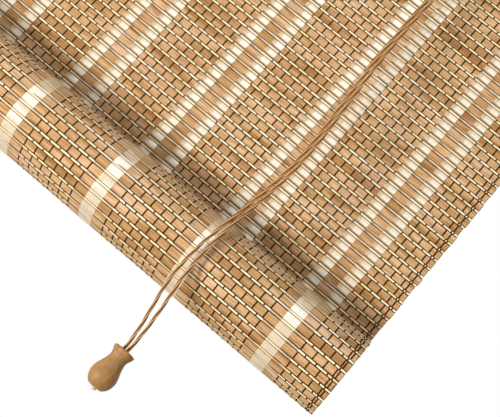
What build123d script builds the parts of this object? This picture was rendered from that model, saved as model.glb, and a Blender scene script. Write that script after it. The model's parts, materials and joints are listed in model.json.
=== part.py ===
from build123d import *

import os
from math import acos, atan2, cos, degrees, pi, radians, sin, tan

# Bamboo roll up blind, hung on two holes, in millimetres.
# +Z is up, +X runs along the slats and the room is on the -Y side.
# The origin is midway between the two hanging holes, on the wall side of the hanger plates.

# Clearances shared by all pieces
body_gap = 0.3
running_gap = 0.05
hole_gap = 0.05
overrun = 5.0

# Weave of the mat: wide slats alternate with thin sticks
slat_width = 5.1
stick_width = 1.6
weave_gap = 0.45
slat_thickness = 2.0
stick_thickness = 1.5
web_thickness = 0.8
slat_pitch = slat_width + stick_width + 2 * weave_gap
hanging_pitches = 68

# Yarn bands: two bundles over the front of the slats, a third between them over the back
yarn_width = 9.35
middle_yarn_width = 10.65
yarn_thickness = 0.25
field_width = 44.4
side_margin = 31.8
band_count = 16
band_width = 2 * yarn_width + middle_yarn_width
band_pitch = band_width + field_width
blind_width = 2 * side_margin + band_count * band_width + (band_count - 1) * field_width
half_width = blind_width / 2

# Roll of mat round the bottom rod
rod_diameter = 17.0
rod_inset = 2.0
rod_edge = 1.0
turn_gap = 0.6
roll_turns = 8
turn_step_limit = 16.0
roll_yarn_turn_share = 0.9

# Head rail and rear batten, which clamp the top of the mat
rail_height = 34.0
rail_thickness = 20.0
rail_edge_radius = 2.5
batten_thickness = 8.0
batten_edge_radius = 1.5
rail_drop = 14.0
mat_top_inset = 1.0

# Hanger plates
hanger_thickness = 2.0
hanger_width = 24.0
hanger_rise = 11.0
hanger_length = 50.0
hanger_edge_radius = 3.0
hanging_hole_diameter = 6.5
hanger_band_steps = 6
hanger_screw_drops = (20.0, 33.0)

# Countersunk wood screws
screw_head_diameter = 7.0
screw_head_height = 2.0
screw_shank_diameter = 3.5
screw_point = 3.0
batten_screw_length = 24.0
hanger_screw_length = 8.5
batten_screw_band_steps = (-7, -4, 0, 4, 7)

# Small pan head screws under the rail
pan_head_diameter = 4.6
pan_head_height = 1.4
pan_shank_diameter = 2.6
pan_screw_length = 13.0
pan_crown_share = 0.65
pan_brim_share = 0.45

# Cords
cord_diameter = 2.2
cord_radius = cord_diameter / 2
cord_plane_offset = 4.5
head_cord_drop = 5.0
cord_lead = 3.0
cord_hole_diameter = 2.8
knot_diameter = 5.6
knot_height = 4.4
knot_seat_share = 0.12
lift_band_steps = 3
pull_band_steps = 6.5

# Guide pulleys
groove_radius = 5.7
groove_width = 2.7
flange_radius = 8.0
wheel_width = 5.0
flange_rim = 0.7
cord_wheel_gap = 0.2
pin_diameter = 3.0
pin_head_diameter = 4.6
pin_head_height = 0.8
sheet_thickness = 1.2
cheek_gap = 0.4
cheek_width = 11.0
fork_length = 36.0
fork_screw_reach = 13.0

# Cord lock
lock_inner_width = 14.0
lock_length = 36.0
lock_height = 34.0
lock_corner_radius = 5.0
lock_lead_in = 11.0
roller_flange_radius = 7.2
roller_flange_width = 0.9
roller_rib_width = 2.2
pawl_reach = 7.4
pawl_relief = 1.0
pawl_tooth_depth = 0.7
pawl_teeth = 7
pawl_tooth_step = 8.0
pawl_boss_radius = 3.8
pawl_drop = 4.0
lock_screw_shares = (0.62, 0.88)

# Turned wooden acorn on the end of the pull cord
acorn_length = 29.0
acorn_rim_radius = 7.7
acorn_neck_radius = 5.85
acorn_bulb_radius = 9.25
acorn_foot_radius = 4.2
acorn_shoulder_share = 0.07
acorn_neck_share = 0.255
acorn_bulb_share = 0.71
acorn_bore_diameter = 6.0
acorn_pocket_diameter = 7.0
acorn_pocket_depth = 7.0
acorn_knot_diameter = 6.2
acorn_knot_show = 2.0

# Routes of the pull cord's two strands, in the frame of the blind.
# Each leaves the cord lock, leans out to the front of the roll and hangs down to the acorn.
front_strand_upper = [
    (479.4, -27.1, -63.3),
    (479.3, -27.6, -93.0),
    (479.0, -31.0, -146.0),
    (479.8, -37.4, -203.0),
    (481.2, -44.3, -260.0),
    (480.5, -50.2, -315.0),
    (482.6, -55.6, -360.0),
    (486.0, -60.5, -399.0),
    (489.4, -65.0, -436.0),
    (488.0, -69.6, -471.0),
    (483.8, -73.6, -498.0),
    (480.8, -77.0, -518.0),
    (479.2, -77.9, -532.4),
]
rear_strand_upper = [
    (479.4, -18.1, -63.3),
    (479.6, -20.0, -93.0),
    (481.0, -27.6, -146.0),
    (482.6, -36.4, -203.0),
    (484.0, -43.9, -260.0),
    (483.2, -50.0, -315.0),
    (485.4, -55.5, -360.0),
    (488.8, -60.4, -399.0),
    (492.2, -65.1, -436.0),
    (490.9, -69.5, -471.0),
    (487.0, -73.5, -498.0),
    (484.5, -76.9, -518.0),
    (484.0, -77.8, -532.4),
]
front_strand_lower = [
    (479.2, -77.9, -532.8),
    (478.3, -78.1, -549.0),
    (479.4, -77.8, -563.0),
    (481.8, -78.0, -576.0),
    (484.2, -77.9, -588.0),
    (485.9, -77.7, -599.0),
    (486.8, -77.9, -611.5),
    (486.7, -77.8, -621.5),
]
rear_strand_lower = [
    (484.0, -77.8, -532.8),
    (484.1, -77.6, -549.0),
    (485.8, -77.9, -563.0),
    (487.5, -77.7, -576.0),
    (488.7, -77.9, -588.0),
    (489.4, -77.8, -599.0),
    (489.3, -77.9, -611.5),
    (489.3, -77.8, -621.5),
]
acorn_x = 488.0
acorn_y = -77.8
acorn_top_below_roll_axis = 78.3
bend_run_share = 0.45

# Places across the depth, from the wall to the room
batten_rear_y = -hanger_thickness
batten_front_y = batten_rear_y - batten_thickness
mat_rear_y = batten_front_y - yarn_thickness - hole_gap
mat_y = mat_rear_y - slat_thickness / 2
mat_front_y = mat_rear_y - slat_thickness
rail_rear_y = mat_front_y - yarn_thickness - hole_gap
rail_front_y = rail_rear_y - rail_thickness
rail_y = (rail_rear_y + rail_front_y) / 2
front_cord_y = rail_y - cord_plane_offset
rear_cord_y = rail_y + cord_plane_offset

# Places up the height
rail_top_z = -rail_drop
rail_bottom_z = rail_top_z - rail_height
rail_mid_z = (rail_top_z + rail_bottom_z) / 2
mat_top_z = rail_top_z - mat_top_inset
roll_z = mat_top_z - hanging_pitches * slat_pitch
head_cord_z = rail_bottom_z - head_cord_drop
wheel_pitch_radius = groove_radius + cord_wheel_gap + cord_radius
wheel_z = head_cord_z - wheel_pitch_radius
pawl_z = wheel_z - pawl_drop
acorn_top_z = roll_z - acorn_top_below_roll_axis

# Roll sizes
turn_advance = slat_thickness + turn_gap
roll_inner_radius = rod_diameter / 2 + body_gap + slat_thickness / 2
roll_radius = roll_inner_radius + roll_turns * turn_advance
roll_y = mat_y - roll_radius
sling_radius = roll_radius + slat_thickness / 2 + hole_gap + yarn_thickness + body_gap + cord_radius

# Places along the slats
lift_places = {"left": -lift_band_steps * band_pitch, "right": lift_band_steps * band_pitch}
lift_cord_y = {"left": front_cord_y, "right": rear_cord_y}
pull_x = pull_band_steps * band_pitch
roller_x = pull_x - wheel_pitch_radius
lock_left_x = roller_x - lock_lead_in
lock_right_x = lock_left_x + lock_length
pawl_x = pull_x + cord_radius + body_gap + pawl_reach
lift_hole_y = (batten_rear_y + batten_front_y) / 2


def block(x_span, y_span, z_span):
    """A box between two faces on each axis."""
    spans = (x_span, y_span, z_span)
    middle = [(span[0] + span[1]) / 2 for span in spans]
    size = [abs(span[1] - span[0]) for span in spans]
    return Pos(*middle) * Box(*size)


def prism_along_x(outline, x_start, x_end):
    """A prism from x_start to x_end with an outline of (y, z) points."""
    points = [(x_start, y, z) for y, z in outline]
    face = make_face(Polyline(*points, close=True).edges())
    return extrude(face, amount=x_end - x_start, dir=(1, 0, 0))


def turned(profile):
    """A solid turned about Z from a profile of (radius, z) points."""
    face = make_face(Polyline(*[(r, 0, z) for r, z in profile], close=True).edges())
    return revolve(face, axis=Axis.Z)


def along_y(x, y, z):
    """A location that lays a turned solid's +Z along +Y."""
    return Pos(x, y, z) * Rot(-90, 0, 0)


def countersunk(length, gap, extra):
    """A countersunk screw with its head's top at zero, or its hole when gap and extra are given."""
    head_radius = screw_head_diameter / 2 + gap
    shank_radius = screw_shank_diameter / 2 + gap
    profile = [(0, extra), (head_radius, extra)]
    if extra > 0:
        profile.append((head_radius, 0))
    profile += [(shank_radius, -screw_head_height), (shank_radius, -length + screw_point)]
    profile.append((0, -length - gap))
    return turned(profile)


def pan_screw():
    """A pan head screw with the underside of its head at zero."""
    head = pan_head_diameter / 2
    shank = pan_shank_diameter / 2
    profile = [
        (0, pan_head_height),
        (head * pan_crown_share, pan_head_height),
        (head, pan_head_height * pan_brim_share),
        (head, 0),
        (shank, 0),
        (shank, -pan_screw_length + screw_point),
        (0, -pan_screw_length),
    ]
    return turned(profile)


def pan_hole(depth):
    """The hole for a pan head screw's shank, from just outside the face to depth."""
    radius = pan_shank_diameter / 2 + hole_gap
    return turned([(0, overrun), (radius, overrun), (radius, -depth), (0, -depth)])


def straight_cord(start, end):
    """A straight run of cord between two points."""
    run = Vector(*end) - Vector(*start)
    section = Plane(origin=start, z_dir=run) * Circle(cord_radius)
    return extrude(section, amount=run.length)


def bend_radii(points):
    """The largest arc that the two runs beside each inner point leave room for."""
    radii = []
    for before, here, after in zip(points, points[1:], points[2:]):
        run_in = Vector(*here) - Vector(*before)
        run_out = Vector(*after) - Vector(*here)
        shorter = min(run_in.length, run_out.length)
        half_turn = radians(run_in.get_angle(run_out)) / 2
        radii.append(bend_run_share * shorter / tan(half_turn))
    return radii


def bent_cord(points, radii):
    """A cord along straight runs joined by arcs."""
    path = FilletPolyline(*points, radius=radii)
    section = Plane(origin=path @ 0, z_dir=path % 0) * Circle(cord_radius)
    return sweep(section, path=path)


def band_left_edges():
    """The left edge of each yarn band."""
    return [-half_width + side_margin + step * band_pitch for step in range(band_count)]


# Woven mat

def hanging_outline():
    """One face of the hanging mat from the roll up: (height, half thickness) of sticks and slats."""
    steps = []
    for step in range(hanging_pitches):
        foot = roll_z + step * slat_pitch + weave_gap / 2
        stick_top = foot + stick_width
        slat_foot = stick_top + weave_gap
        slat_top = slat_foot + slat_width
        steps += [(foot, web_thickness / 2), (foot, stick_thickness / 2)]
        steps += [(stick_top, stick_thickness / 2), (stick_top, web_thickness / 2)]
        steps += [(slat_foot, web_thickness / 2), (slat_foot, slat_thickness / 2)]
        steps += [(slat_top, slat_thickness / 2), (slat_top, web_thickness / 2)]
    return steps[1:-1]


def woven_mat():
    """The hanging mat: slats and sticks in one wall, pierced for the batten screws."""
    face = hanging_outline()
    front = [(mat_y - half, z) for z, half in face]
    rear = [(mat_y + half, z) for z, half in reversed(face)]
    wall = prism_along_x(front + rear, -half_width, half_width)
    radius = screw_shank_diameter / 2 + hole_gap
    holes = [along_y(x, mat_y, rail_mid_z) * Cylinder(radius, overrun) for x in batten_screw_places()]
    return wall - holes


def front_yarn_bands():
    """Two flat yarn bundles of every band, laid over the front of the slats."""
    foot = roll_z + weave_gap + stick_width + weave_gap / 2
    bundles = []
    for left in band_left_edges():
        for start in (left, left + yarn_width + middle_yarn_width):
            depth = (mat_front_y - yarn_thickness, mat_front_y)
            bundles.append(block((start, start + yarn_width), depth, (foot, mat_top_z)))
    return Compound(children=bundles)


def rear_yarn_bands():
    """The middle yarn bundle of every band, laid over the rear of the slats."""
    foot = roll_z + weave_gap + stick_width + weave_gap / 2
    bundles = []
    for left in band_left_edges():
        start = left + yarn_width
        depth = (mat_rear_y, mat_rear_y + yarn_thickness)
        bundles.append(block((start, start + middle_yarn_width), depth, (foot, mat_top_z)))
    return Compound(children=bundles)


# Roll

def spiral_radius(turn):
    """The radius of the mat's middle after winding in by an angle, in radians."""
    return roll_radius - turn_advance * turn / (2 * pi)


def spiral_point(turn, offset):
    """A point of the wound mat, offset outwards from its middle."""
    radius = spiral_radius(turn) + offset
    return (roll_y + radius * cos(turn), roll_z - radius * sin(turn))


def spiral_turns():
    """The angles of the winding's corners: one per slat, closer where the turns are tight."""
    turns = [0.0]
    while turns[-1] < 2 * pi * roll_turns:
        step = min(slat_pitch / spiral_radius(turns[-1]), radians(turn_step_limit))
        turns.append(turns[-1] + step)
    return turns[:-1]


def slat_outline(turn, next_turn):
    """The outside of one wound slat and its stick, between two corners of the winding."""
    start = Vector(*spiral_point(turn, 0))
    end = Vector(*spiral_point(next_turn, 0))
    along = (end - start) / slat_pitch
    outward = Vector(-along.Y, along.X).normalized()
    slat_foot = weave_gap / 2
    slat_end = slat_foot + slat_width
    stick_foot = slat_end + weave_gap
    stick_end = stick_foot + stick_width
    steps = [(slat_foot, slat_thickness), (slat_end, slat_thickness), (slat_end, web_thickness)]
    steps += [(stick_foot, web_thickness), (stick_foot, stick_thickness)]
    steps += [(stick_end, stick_thickness), (stick_end, web_thickness)]
    if turn > 0:
        steps.insert(0, (slat_foot, web_thickness))
    points = []
    for distance, thickness in steps:
        point = start + along * distance + outward * (thickness / 2)
        points.append((point.X, point.Y))
    return points


def mat_roll():
    """The wound mat, one spiral wall with slats and sticks on its outermost turn."""
    turns = spiral_turns()
    outside = []
    for turn, next_turn in zip(turns, turns[1:]):
        if next_turn < 2 * pi:
            outside += slat_outline(turn, next_turn)
        else:
            outside.append(spiral_point(next_turn, slat_thickness / 2))
    first_corner = weave_gap / 2 / roll_radius
    inside = [spiral_point(turn, -slat_thickness / 2) for turn in [first_corner] + turns[1:]]
    return prism_along_x(outside + inside[::-1], -half_width, half_width)


def roll_yarn_bands():
    """The middle bundles, which show on the outside of the roll."""
    last_turn = 2 * pi * roll_yarn_turn_share
    turns = [turn for turn in spiral_turns() if turn < last_turn]
    turns[0] = weave_gap / 2 / roll_radius
    lay = slat_thickness / 2 + hole_gap
    under = [spiral_point(turn, lay) for turn in turns]
    over = [spiral_point(turn, lay + yarn_thickness) for turn in reversed(turns)]
    bundles = []
    for left in band_left_edges():
        start = left + yarn_width
        bundles.append(prism_along_x(under + over, start, start + middle_yarn_width))
    return Compound(children=bundles)


def bottom_rod():
    """The round rod that the mat is wound on."""
    rod = Cylinder(rod_diameter / 2, blind_width - 2 * rod_inset)
    rod = chamfer(rod.edges().filter_by(GeomType.CIRCLE), length=rod_edge)
    return Pos(0, roll_y, roll_z) * Rot(0, 90, 0) * rod


# Head rail

def batten_screw_places():
    """Places of the screws along the batten, between the yarn bands."""
    return [step * band_pitch for step in batten_screw_band_steps]


def hanger_places():
    """Places of the two hanger plates along the rail."""
    reach = hanger_band_steps * band_pitch
    return {"left": -reach, "right": reach}


def fork_screw_places():
    """Places of the pulley forks' screws under the rail."""
    places = []
    for side, x in lift_places.items():
        for reach in (-fork_screw_reach, fork_screw_reach):
            places.append((x + wheel_pitch_radius + reach, lift_cord_y[side]))
    return places


def lock_screw_places():
    """Places of the cord lock's screws under the rail."""
    return [(lock_left_x + lock_length * share, rail_y) for share in lock_screw_shares]


def head_rail():
    """The front rail, with pilot holes for the batten, pulley and lock screws."""
    spans = (-half_width, half_width), (rail_front_y, rail_rear_y), (rail_bottom_z, rail_top_z)
    rail = block(*spans)
    front_edges = rail.edges().filter_by(Axis.X).group_by(Axis.Y)[0]
    rail = fillet(front_edges, radius=rail_edge_radius)
    holes = []
    screw_hole = countersunk(batten_screw_length, hole_gap, overrun)
    for x in batten_screw_places():
        holes.append(along_y(x, batten_rear_y, rail_mid_z) * screw_hole)
    pan_depth = pan_screw_length - sheet_thickness + hole_gap
    for x, y in fork_screw_places() + lock_screw_places():
        holes.append(Pos(x, y, rail_bottom_z) * Rot(180, 0, 0) * pan_hole(pan_depth))
    return rail - holes


def lift_cord_ends(side):
    """Top, rear and front ends of one side's lift cord, as (y, z) with the roll's tangents."""
    rear_top = (lift_hole_y, rail_top_z)
    front_top = (lift_cord_y[side], wheel_z - cord_lead)
    ends = {"rear_top": rear_top, "front_top": front_top}
    for name, top, way in (("rear", rear_top, -1), ("front", front_top, 1)):
        reach = Vector(top[0] - roll_y, top[1] - roll_z)
        angle = atan2(reach.Y, reach.X) + way * acos(sling_radius / reach.length)
        ends[name + "_angle"] = angle
        ends[name] = (roll_y + sling_radius * cos(angle), roll_z + sling_radius * sin(angle))
    return ends


def rear_batten():
    """The rear batten, drilled for its screws, the hanger screws and the lift cords."""
    spans = (-half_width, half_width), (batten_front_y, batten_rear_y), (rail_bottom_z, rail_top_z)
    batten = block(*spans)
    rear_edges = batten.edges().filter_by(Axis.X).group_by(Axis.Y)[-1]
    batten = fillet(rear_edges, radius=batten_edge_radius)
    holes = []
    screw_hole = countersunk(batten_screw_length, hole_gap, overrun)
    for x in batten_screw_places():
        holes.append(along_y(x, batten_rear_y, rail_mid_z) * screw_hole)
    for x in hanger_places().values():
        for drop in hanger_screw_drops:
            hole = countersunk(hanger_screw_length, hole_gap, overrun)
            holes.append(along_y(x, 0, -drop) * hole)
    for x in lift_places.values():
        bore = Cylinder(cord_hole_diameter / 2, rail_height + 2 * overrun)
        holes.append(Pos(x, lift_hole_y, rail_mid_z) * bore)
    return batten - holes


def batten_screws():
    """Screws that clamp the mat between batten and rail."""
    screw = countersunk(batten_screw_length, 0, 0)
    return Compound(children=[along_y(x, batten_rear_y, rail_mid_z) * screw for x in batten_screw_places()])


def hanger(x):
    """A hanger plate with a round top, its hanging hole and two countersunk screw holes."""
    outline = Pos(0, hanger_rise - hanger_length / 2) * RectangleRounded(
        hanger_width, hanger_length, hanger_edge_radius)
    plate = extrude(Plane.XZ * outline, amount=hanger_thickness)
    hole = along_y(0, 0, 0) * Cylinder(hanging_hole_diameter / 2, 2 * hanger_thickness + overrun)
    holes = [hole]
    for drop in hanger_screw_drops:
        holes.append(along_y(0, 0, -drop) * countersunk(hanger_screw_length, hole_gap, overrun))
    return Pos(x, 0, 0) * (plate - holes)


def hanger_screws():
    """Screws that hold the hanger plates to the batten."""
    screw = countersunk(hanger_screw_length, 0, 0)
    screws = []
    for x in hanger_places().values():
        screws += [along_y(x, 0, -drop) * screw for drop in hanger_screw_drops]
    return Compound(children=screws)


# Guide pulleys

def pulley_fork(side):
    """A folded sheet fork: a foot under the rail and two round-ended cheeks."""
    x = lift_places[side] + wheel_pitch_radius
    y = lift_cord_y[side]
    inner = wheel_width / 2 + cheek_gap
    outer = inner + sheet_thickness
    foot = block((x - fork_length / 2, x + fork_length / 2), (y - outer, y + outer),
                 (rail_bottom_z - sheet_thickness, rail_bottom_z))
    foot = fillet(foot.edges().filter_by(Axis.Z), radius=sheet_thickness)
    fork = foot
    for near, far in ((-outer, -inner), (inner, outer)):
        stem = block((x - cheek_width / 2, x + cheek_width / 2), (y + near, y + far),
                     (wheel_z, rail_bottom_z))
        middle = y + (near + far) / 2
        end = along_y(x, middle, wheel_z) * Cylinder(cheek_width / 2, sheet_thickness)
        fork += stem + end
    holes = [along_y(x, y, wheel_z) * Cylinder(pin_diameter / 2 + hole_gap, 2 * outer + overrun)]
    radius = pan_shank_diameter / 2 + hole_gap
    for reach in (-fork_screw_reach, fork_screw_reach):
        holes.append(Pos(x + reach, y, rail_bottom_z) * Cylinder(radius, overrun))
    return fork - holes


def pulley_wheel(side):
    """A grooved wheel with a bore for its pin."""
    half = wheel_width / 2
    bore = pin_diameter / 2 + running_gap
    profile = [
        (bore, -half),
        (flange_radius, -half),
        (flange_radius, -half + flange_rim),
        (groove_radius, -groove_width / 2),
        (groove_radius, groove_width / 2),
        (flange_radius, half - flange_rim),
        (flange_radius, half),
        (bore, half),
    ]
    place = along_y(lift_places[side] + wheel_pitch_radius, lift_cord_y[side], wheel_z)
    return place * turned(profile)


def rivet(half_grip):
    """A pin with a head on each end, along Z."""
    shank = pin_diameter / 2
    head = pin_head_diameter / 2
    tip = half_grip + pin_head_height
    profile = [
        (0, -tip),
        (head, -tip),
        (head, -half_grip),
        (shank, -half_grip),
        (shank, half_grip),
        (head, half_grip),
        (head, tip),
        (0, tip),
    ]
    return turned(profile)


def pulley_pin(side):
    """The riveted pin that the wheel turns on."""
    grip = wheel_width / 2 + cheek_gap + sheet_thickness
    return along_y(lift_places[side] + wheel_pitch_radius, lift_cord_y[side], wheel_z) * rivet(grip)


def under_rail_screws(places):
    """Pan head screws up through a sheet foot into the rail."""
    foot_z = rail_bottom_z - sheet_thickness
    return Compound(children=[Pos(x, y, foot_z) * Rot(180, 0, 0) * pan_screw() for x, y in places])


# Cord lock

def lock_case():
    """A folded sheet channel under the rail, open where the cords come in and go out."""
    inner = lock_inner_width / 2
    outer = inner + sheet_thickness
    x_span = (lock_left_x, lock_right_x)
    case = block(x_span, (rail_y - outer, rail_y + outer), (rail_bottom_z - sheet_thickness, rail_bottom_z))
    for near, far in ((-outer, -inner), (inner, outer)):
        cheek = block(x_span, (rail_y + near, rail_y + far), (rail_bottom_z - lock_height, rail_bottom_z))
        low_edges = cheek.edges().filter_by(Axis.Y).group_by(Axis.Z)[0]
        case += fillet(low_edges, radius=lock_corner_radius)
    holes = []
    for x, z in ((roller_x, wheel_z), (pawl_x, pawl_z)):
        holes.append(along_y(x, rail_y, z) * Cylinder(pin_diameter / 2 + hole_gap, 2 * outer + overrun))
    radius = pan_shank_diameter / 2 + hole_gap
    for x, y in lock_screw_places():
        holes.append(Pos(x, y, rail_bottom_z) * Cylinder(radius, overrun))
    return case - holes


def lock_roller():
    """The roller that turns both cords down, with a rib between them."""
    half = lock_inner_width / 2 - body_gap
    bore = pin_diameter / 2 + running_gap
    profile = [
        (bore, -half),
        (roller_flange_radius, -half),
        (roller_flange_radius, -half + roller_flange_width),
        (groove_radius, -half + roller_flange_width),
        (groove_radius, -roller_rib_width / 2),
        (roller_flange_radius, -roller_rib_width / 2),
        (roller_flange_radius, roller_rib_width / 2),
        (groove_radius, roller_rib_width / 2),
        (groove_radius, half - roller_flange_width),
        (roller_flange_radius, half - roller_flange_width),
        (roller_flange_radius, half),
        (bore, half),
    ]
    return along_y(roller_x, rail_y, wheel_z) * turned(profile)


def lock_pawl():
    """The toothed cam that grips the cords, widest where it faces them at rest."""
    teeth = []
    for tooth in range(pawl_teeth):
        share = abs(tooth - (pawl_teeth - 1) / 2) / ((pawl_teeth - 1) / 2)
        crest = pawl_reach - pawl_relief * share
        angle = radians(180 + (tooth - (pawl_teeth - 1) / 2) * pawl_tooth_step)
        valley_angle = angle + radians(pawl_tooth_step / 2)
        valley = crest - pawl_tooth_depth
        teeth.append((crest * cos(angle), crest * sin(angle)))
        teeth.append((valley * cos(valley_angle), valley * sin(valley_angle)))
    flank = pawl_boss_radius
    outline = [(0, flank)] + teeth[:-1] + [(0, -flank)]
    profile = make_face(Polyline(*outline, close=True).edges()) + Circle(pawl_boss_radius)
    profile -= Circle(pin_diameter / 2 + running_gap)
    width = lock_inner_width - 2 * body_gap
    cam = extrude(Plane.XZ * profile, amount=width / 2, both=True)
    return Pos(pawl_x, rail_y, pawl_z) * cam


def lock_pin(x, z):
    """A riveted pin across the lock's cheeks."""
    return along_y(x, rail_y, z) * rivet(lock_inner_width / 2 + sheet_thickness)


# Lift cords

def lift_cord_rear(side):
    """The run from the batten's hole down behind the mat to the roll."""
    x = lift_places[side]
    ends = lift_cord_ends(side)
    run = Vector(*ends["rear"]) - Vector(*ends["rear_top"])
    stop = Vector(*ends["rear_top"]) + run * ((run.length - body_gap) / run.length)
    return straight_cord((x, *ends["rear_top"]), (x, stop.X, stop.Y))


def lift_cord_front(side):
    """The run from the front of the roll up to the pulley."""
    x = lift_places[side]
    ends = lift_cord_ends(side)
    run = Vector(*ends["front_top"]) - Vector(*ends["front"])
    low = Vector(*ends["front"]) + run * (body_gap / run.length)
    high = Vector(*ends["front"]) + run * ((run.length - body_gap) / run.length)
    return straight_cord((x, low.X, low.Y), (x, high.X, high.Y))


def lift_sling(side):
    """The arc of cord that cradles the roll, from its front round below to its rear."""
    x = lift_places[side]
    ends = lift_cord_ends(side)
    angle = ends["front_angle"]
    tangent = (0, -sin(angle), cos(angle))
    section = Plane(origin=(x, *ends["front"]), z_dir=tangent) * Circle(cord_radius)
    arc = 360 + degrees(ends["rear_angle"] - angle)
    return revolve(section, axis=Axis((x, roll_y, roll_z), (1, 0, 0)), revolution_arc=arc)


def head_cord(side):
    """The run over the pulley, along under the rail and down over the lock's roller."""
    y = lift_cord_y[side]
    foot_z = wheel_z - cord_lead
    route = [
        (lift_places[side], y, foot_z),
        (lift_places[side], y, head_cord_z),
        (pull_x, y, head_cord_z),
        (pull_x, y, foot_z),
    ]
    return bent_cord(route, wheel_pitch_radius)


def lift_cord_knots():
    """Knots on top of the batten that stop the lift cords."""
    knots = []
    for x in lift_places.values():
        ball = scale(Sphere(knot_diameter / 2), by=(1, 1, knot_height / knot_diameter))
        ball = Pos(0, 0, knot_height / 2) * ball
        ball = split(ball, bisect_by=Plane.XY.offset(knot_height * knot_seat_share), keep=Keep.TOP)
        ball = Pos(0, 0, -knot_height * knot_seat_share) * ball
        knots.append(Pos(x, lift_hole_y, rail_top_z) * ball)
    return Compound(children=knots)


# Pull cord

def pull_strand(points, name):
    """One strand of the pull cord, with its bend radii printed."""
    radii = bend_radii(points)
    print(name, "radii", [round(radius, 1) for radius in radii])
    strand = bent_cord(points, radii)
    runs = sum((Vector(*b) - Vector(*a)).length for a, b in zip(points, points[1:]))
    length = strand.volume / (pi * cord_radius ** 2)
    print(name, "length", round(length, 1), "of runs", round(runs, 1))
    return strand


def acorn():
    """The turned wooden pull: flared rim, waist and bulb, bored for the cords and their knot."""
    shoulder = (acorn_rim_radius, -acorn_length * acorn_shoulder_share)
    waist = (acorn_neck_radius, -acorn_length * acorn_neck_share)
    bulb = (acorn_bulb_radius, -acorn_length * acorn_bulb_share)
    foot = (acorn_foot_radius, -acorn_length)
    side_points = [(r, 0, z) for r, z in (shoulder, waist, bulb, foot)]
    turned_down = (0, 0, -1)
    side = Spline(*side_points, tangents=[(-1, 0, -1), turned_down, turned_down, (-1, 0, 0)])
    closing = Polyline(side @ 1, (0, 0, -acorn_length), (0, 0, 0), (acorn_rim_radius, 0, 0), side @ 0)
    solid = revolve(make_face(side.edges() + closing.edges()), axis=Axis.Z)
    bore = Pos(0, 0, -acorn_length / 2) * Cylinder(acorn_bore_diameter / 2, acorn_length + overrun)
    pocket_z = -acorn_length + (acorn_pocket_depth - overrun) / 2
    pocket = Pos(0, 0, pocket_z) * Cylinder(acorn_pocket_diameter / 2, acorn_pocket_depth + overrun)
    return Pos(acorn_x, acorn_y, acorn_top_z) * (solid - bore - pocket)


def acorn_knot():
    """The knot in the acorn's foot, showing a little below it."""
    top_z = acorn_top_z - acorn_length + acorn_pocket_depth
    foot_z = acorn_top_z - acorn_length - acorn_knot_show
    height = top_z - foot_z
    ball = scale(Sphere(acorn_knot_diameter / 2), by=(1, 1, height / acorn_knot_diameter))
    return Pos(acorn_x, acorn_y, (top_z + foot_z) / 2) * ball


nodes = {
    "head_rail": head_rail(),
    "rear_batten": rear_batten(),
    "batten_screws": batten_screws(),
    "hanger_screws": hanger_screws(),
    "woven_mat": woven_mat(),
    "front_yarn_bands": front_yarn_bands(),
    "rear_yarn_bands": rear_yarn_bands(),
    "mat_roll": mat_roll(),
    "roll_yarn_bands": roll_yarn_bands(),
    "bottom_rod": bottom_rod(),
    "pulley_screws": under_rail_screws(fork_screw_places()),
    "lock_case": lock_case(),
    "lock_screws": under_rail_screws(lock_screw_places()),
    "lock_roller": lock_roller(),
    "lock_roller_pin": lock_pin(roller_x, wheel_z),
    "lock_pawl": lock_pawl(),
    "lock_pawl_pin": lock_pin(pawl_x, pawl_z),
    "lift_cord_knots": lift_cord_knots(),
    "pull_cord_front_upper": pull_strand(front_strand_upper, "front upper strand"),
    "pull_cord_rear_upper": pull_strand(rear_strand_upper, "rear upper strand"),
    "pull_cord_front_lower": pull_strand(front_strand_lower, "front lower strand"),
    "pull_cord_rear_lower": pull_strand(rear_strand_lower, "rear lower strand"),
    "acorn": acorn(),
    "acorn_knot": acorn_knot(),
}
for side, place in hanger_places().items():
    nodes[side + "_hanger"] = hanger(place)
    nodes[side + "_pulley_fork"] = pulley_fork(side)
    nodes[side + "_pulley_wheel"] = pulley_wheel(side)
    nodes[side + "_pulley_pin"] = pulley_pin(side)
    nodes[side + "_lift_cord_rear"] = lift_cord_rear(side)
    nodes[side + "_lift_cord_front"] = lift_cord_front(side)
    nodes[side + "_lift_sling"] = lift_sling(side)
    nodes[side + "_head_cord"] = head_cord(side)

os.makedirs("parts", exist_ok=True)
for name, shape in nodes.items():
    export_step(shape, os.path.join("parts", name + ".step"))
print("roll axis", round(roll_y, 3), round(roll_z, 3), "roll radius", round(roll_radius, 3))
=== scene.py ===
"""Bamboo roll up blind: the looks of every piece, in metres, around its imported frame."""
import json
import logging
import math
from dataclasses import dataclass
from enum import Enum

import bpy
import numpy as np
from mathutils import Matrix, Vector


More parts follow.
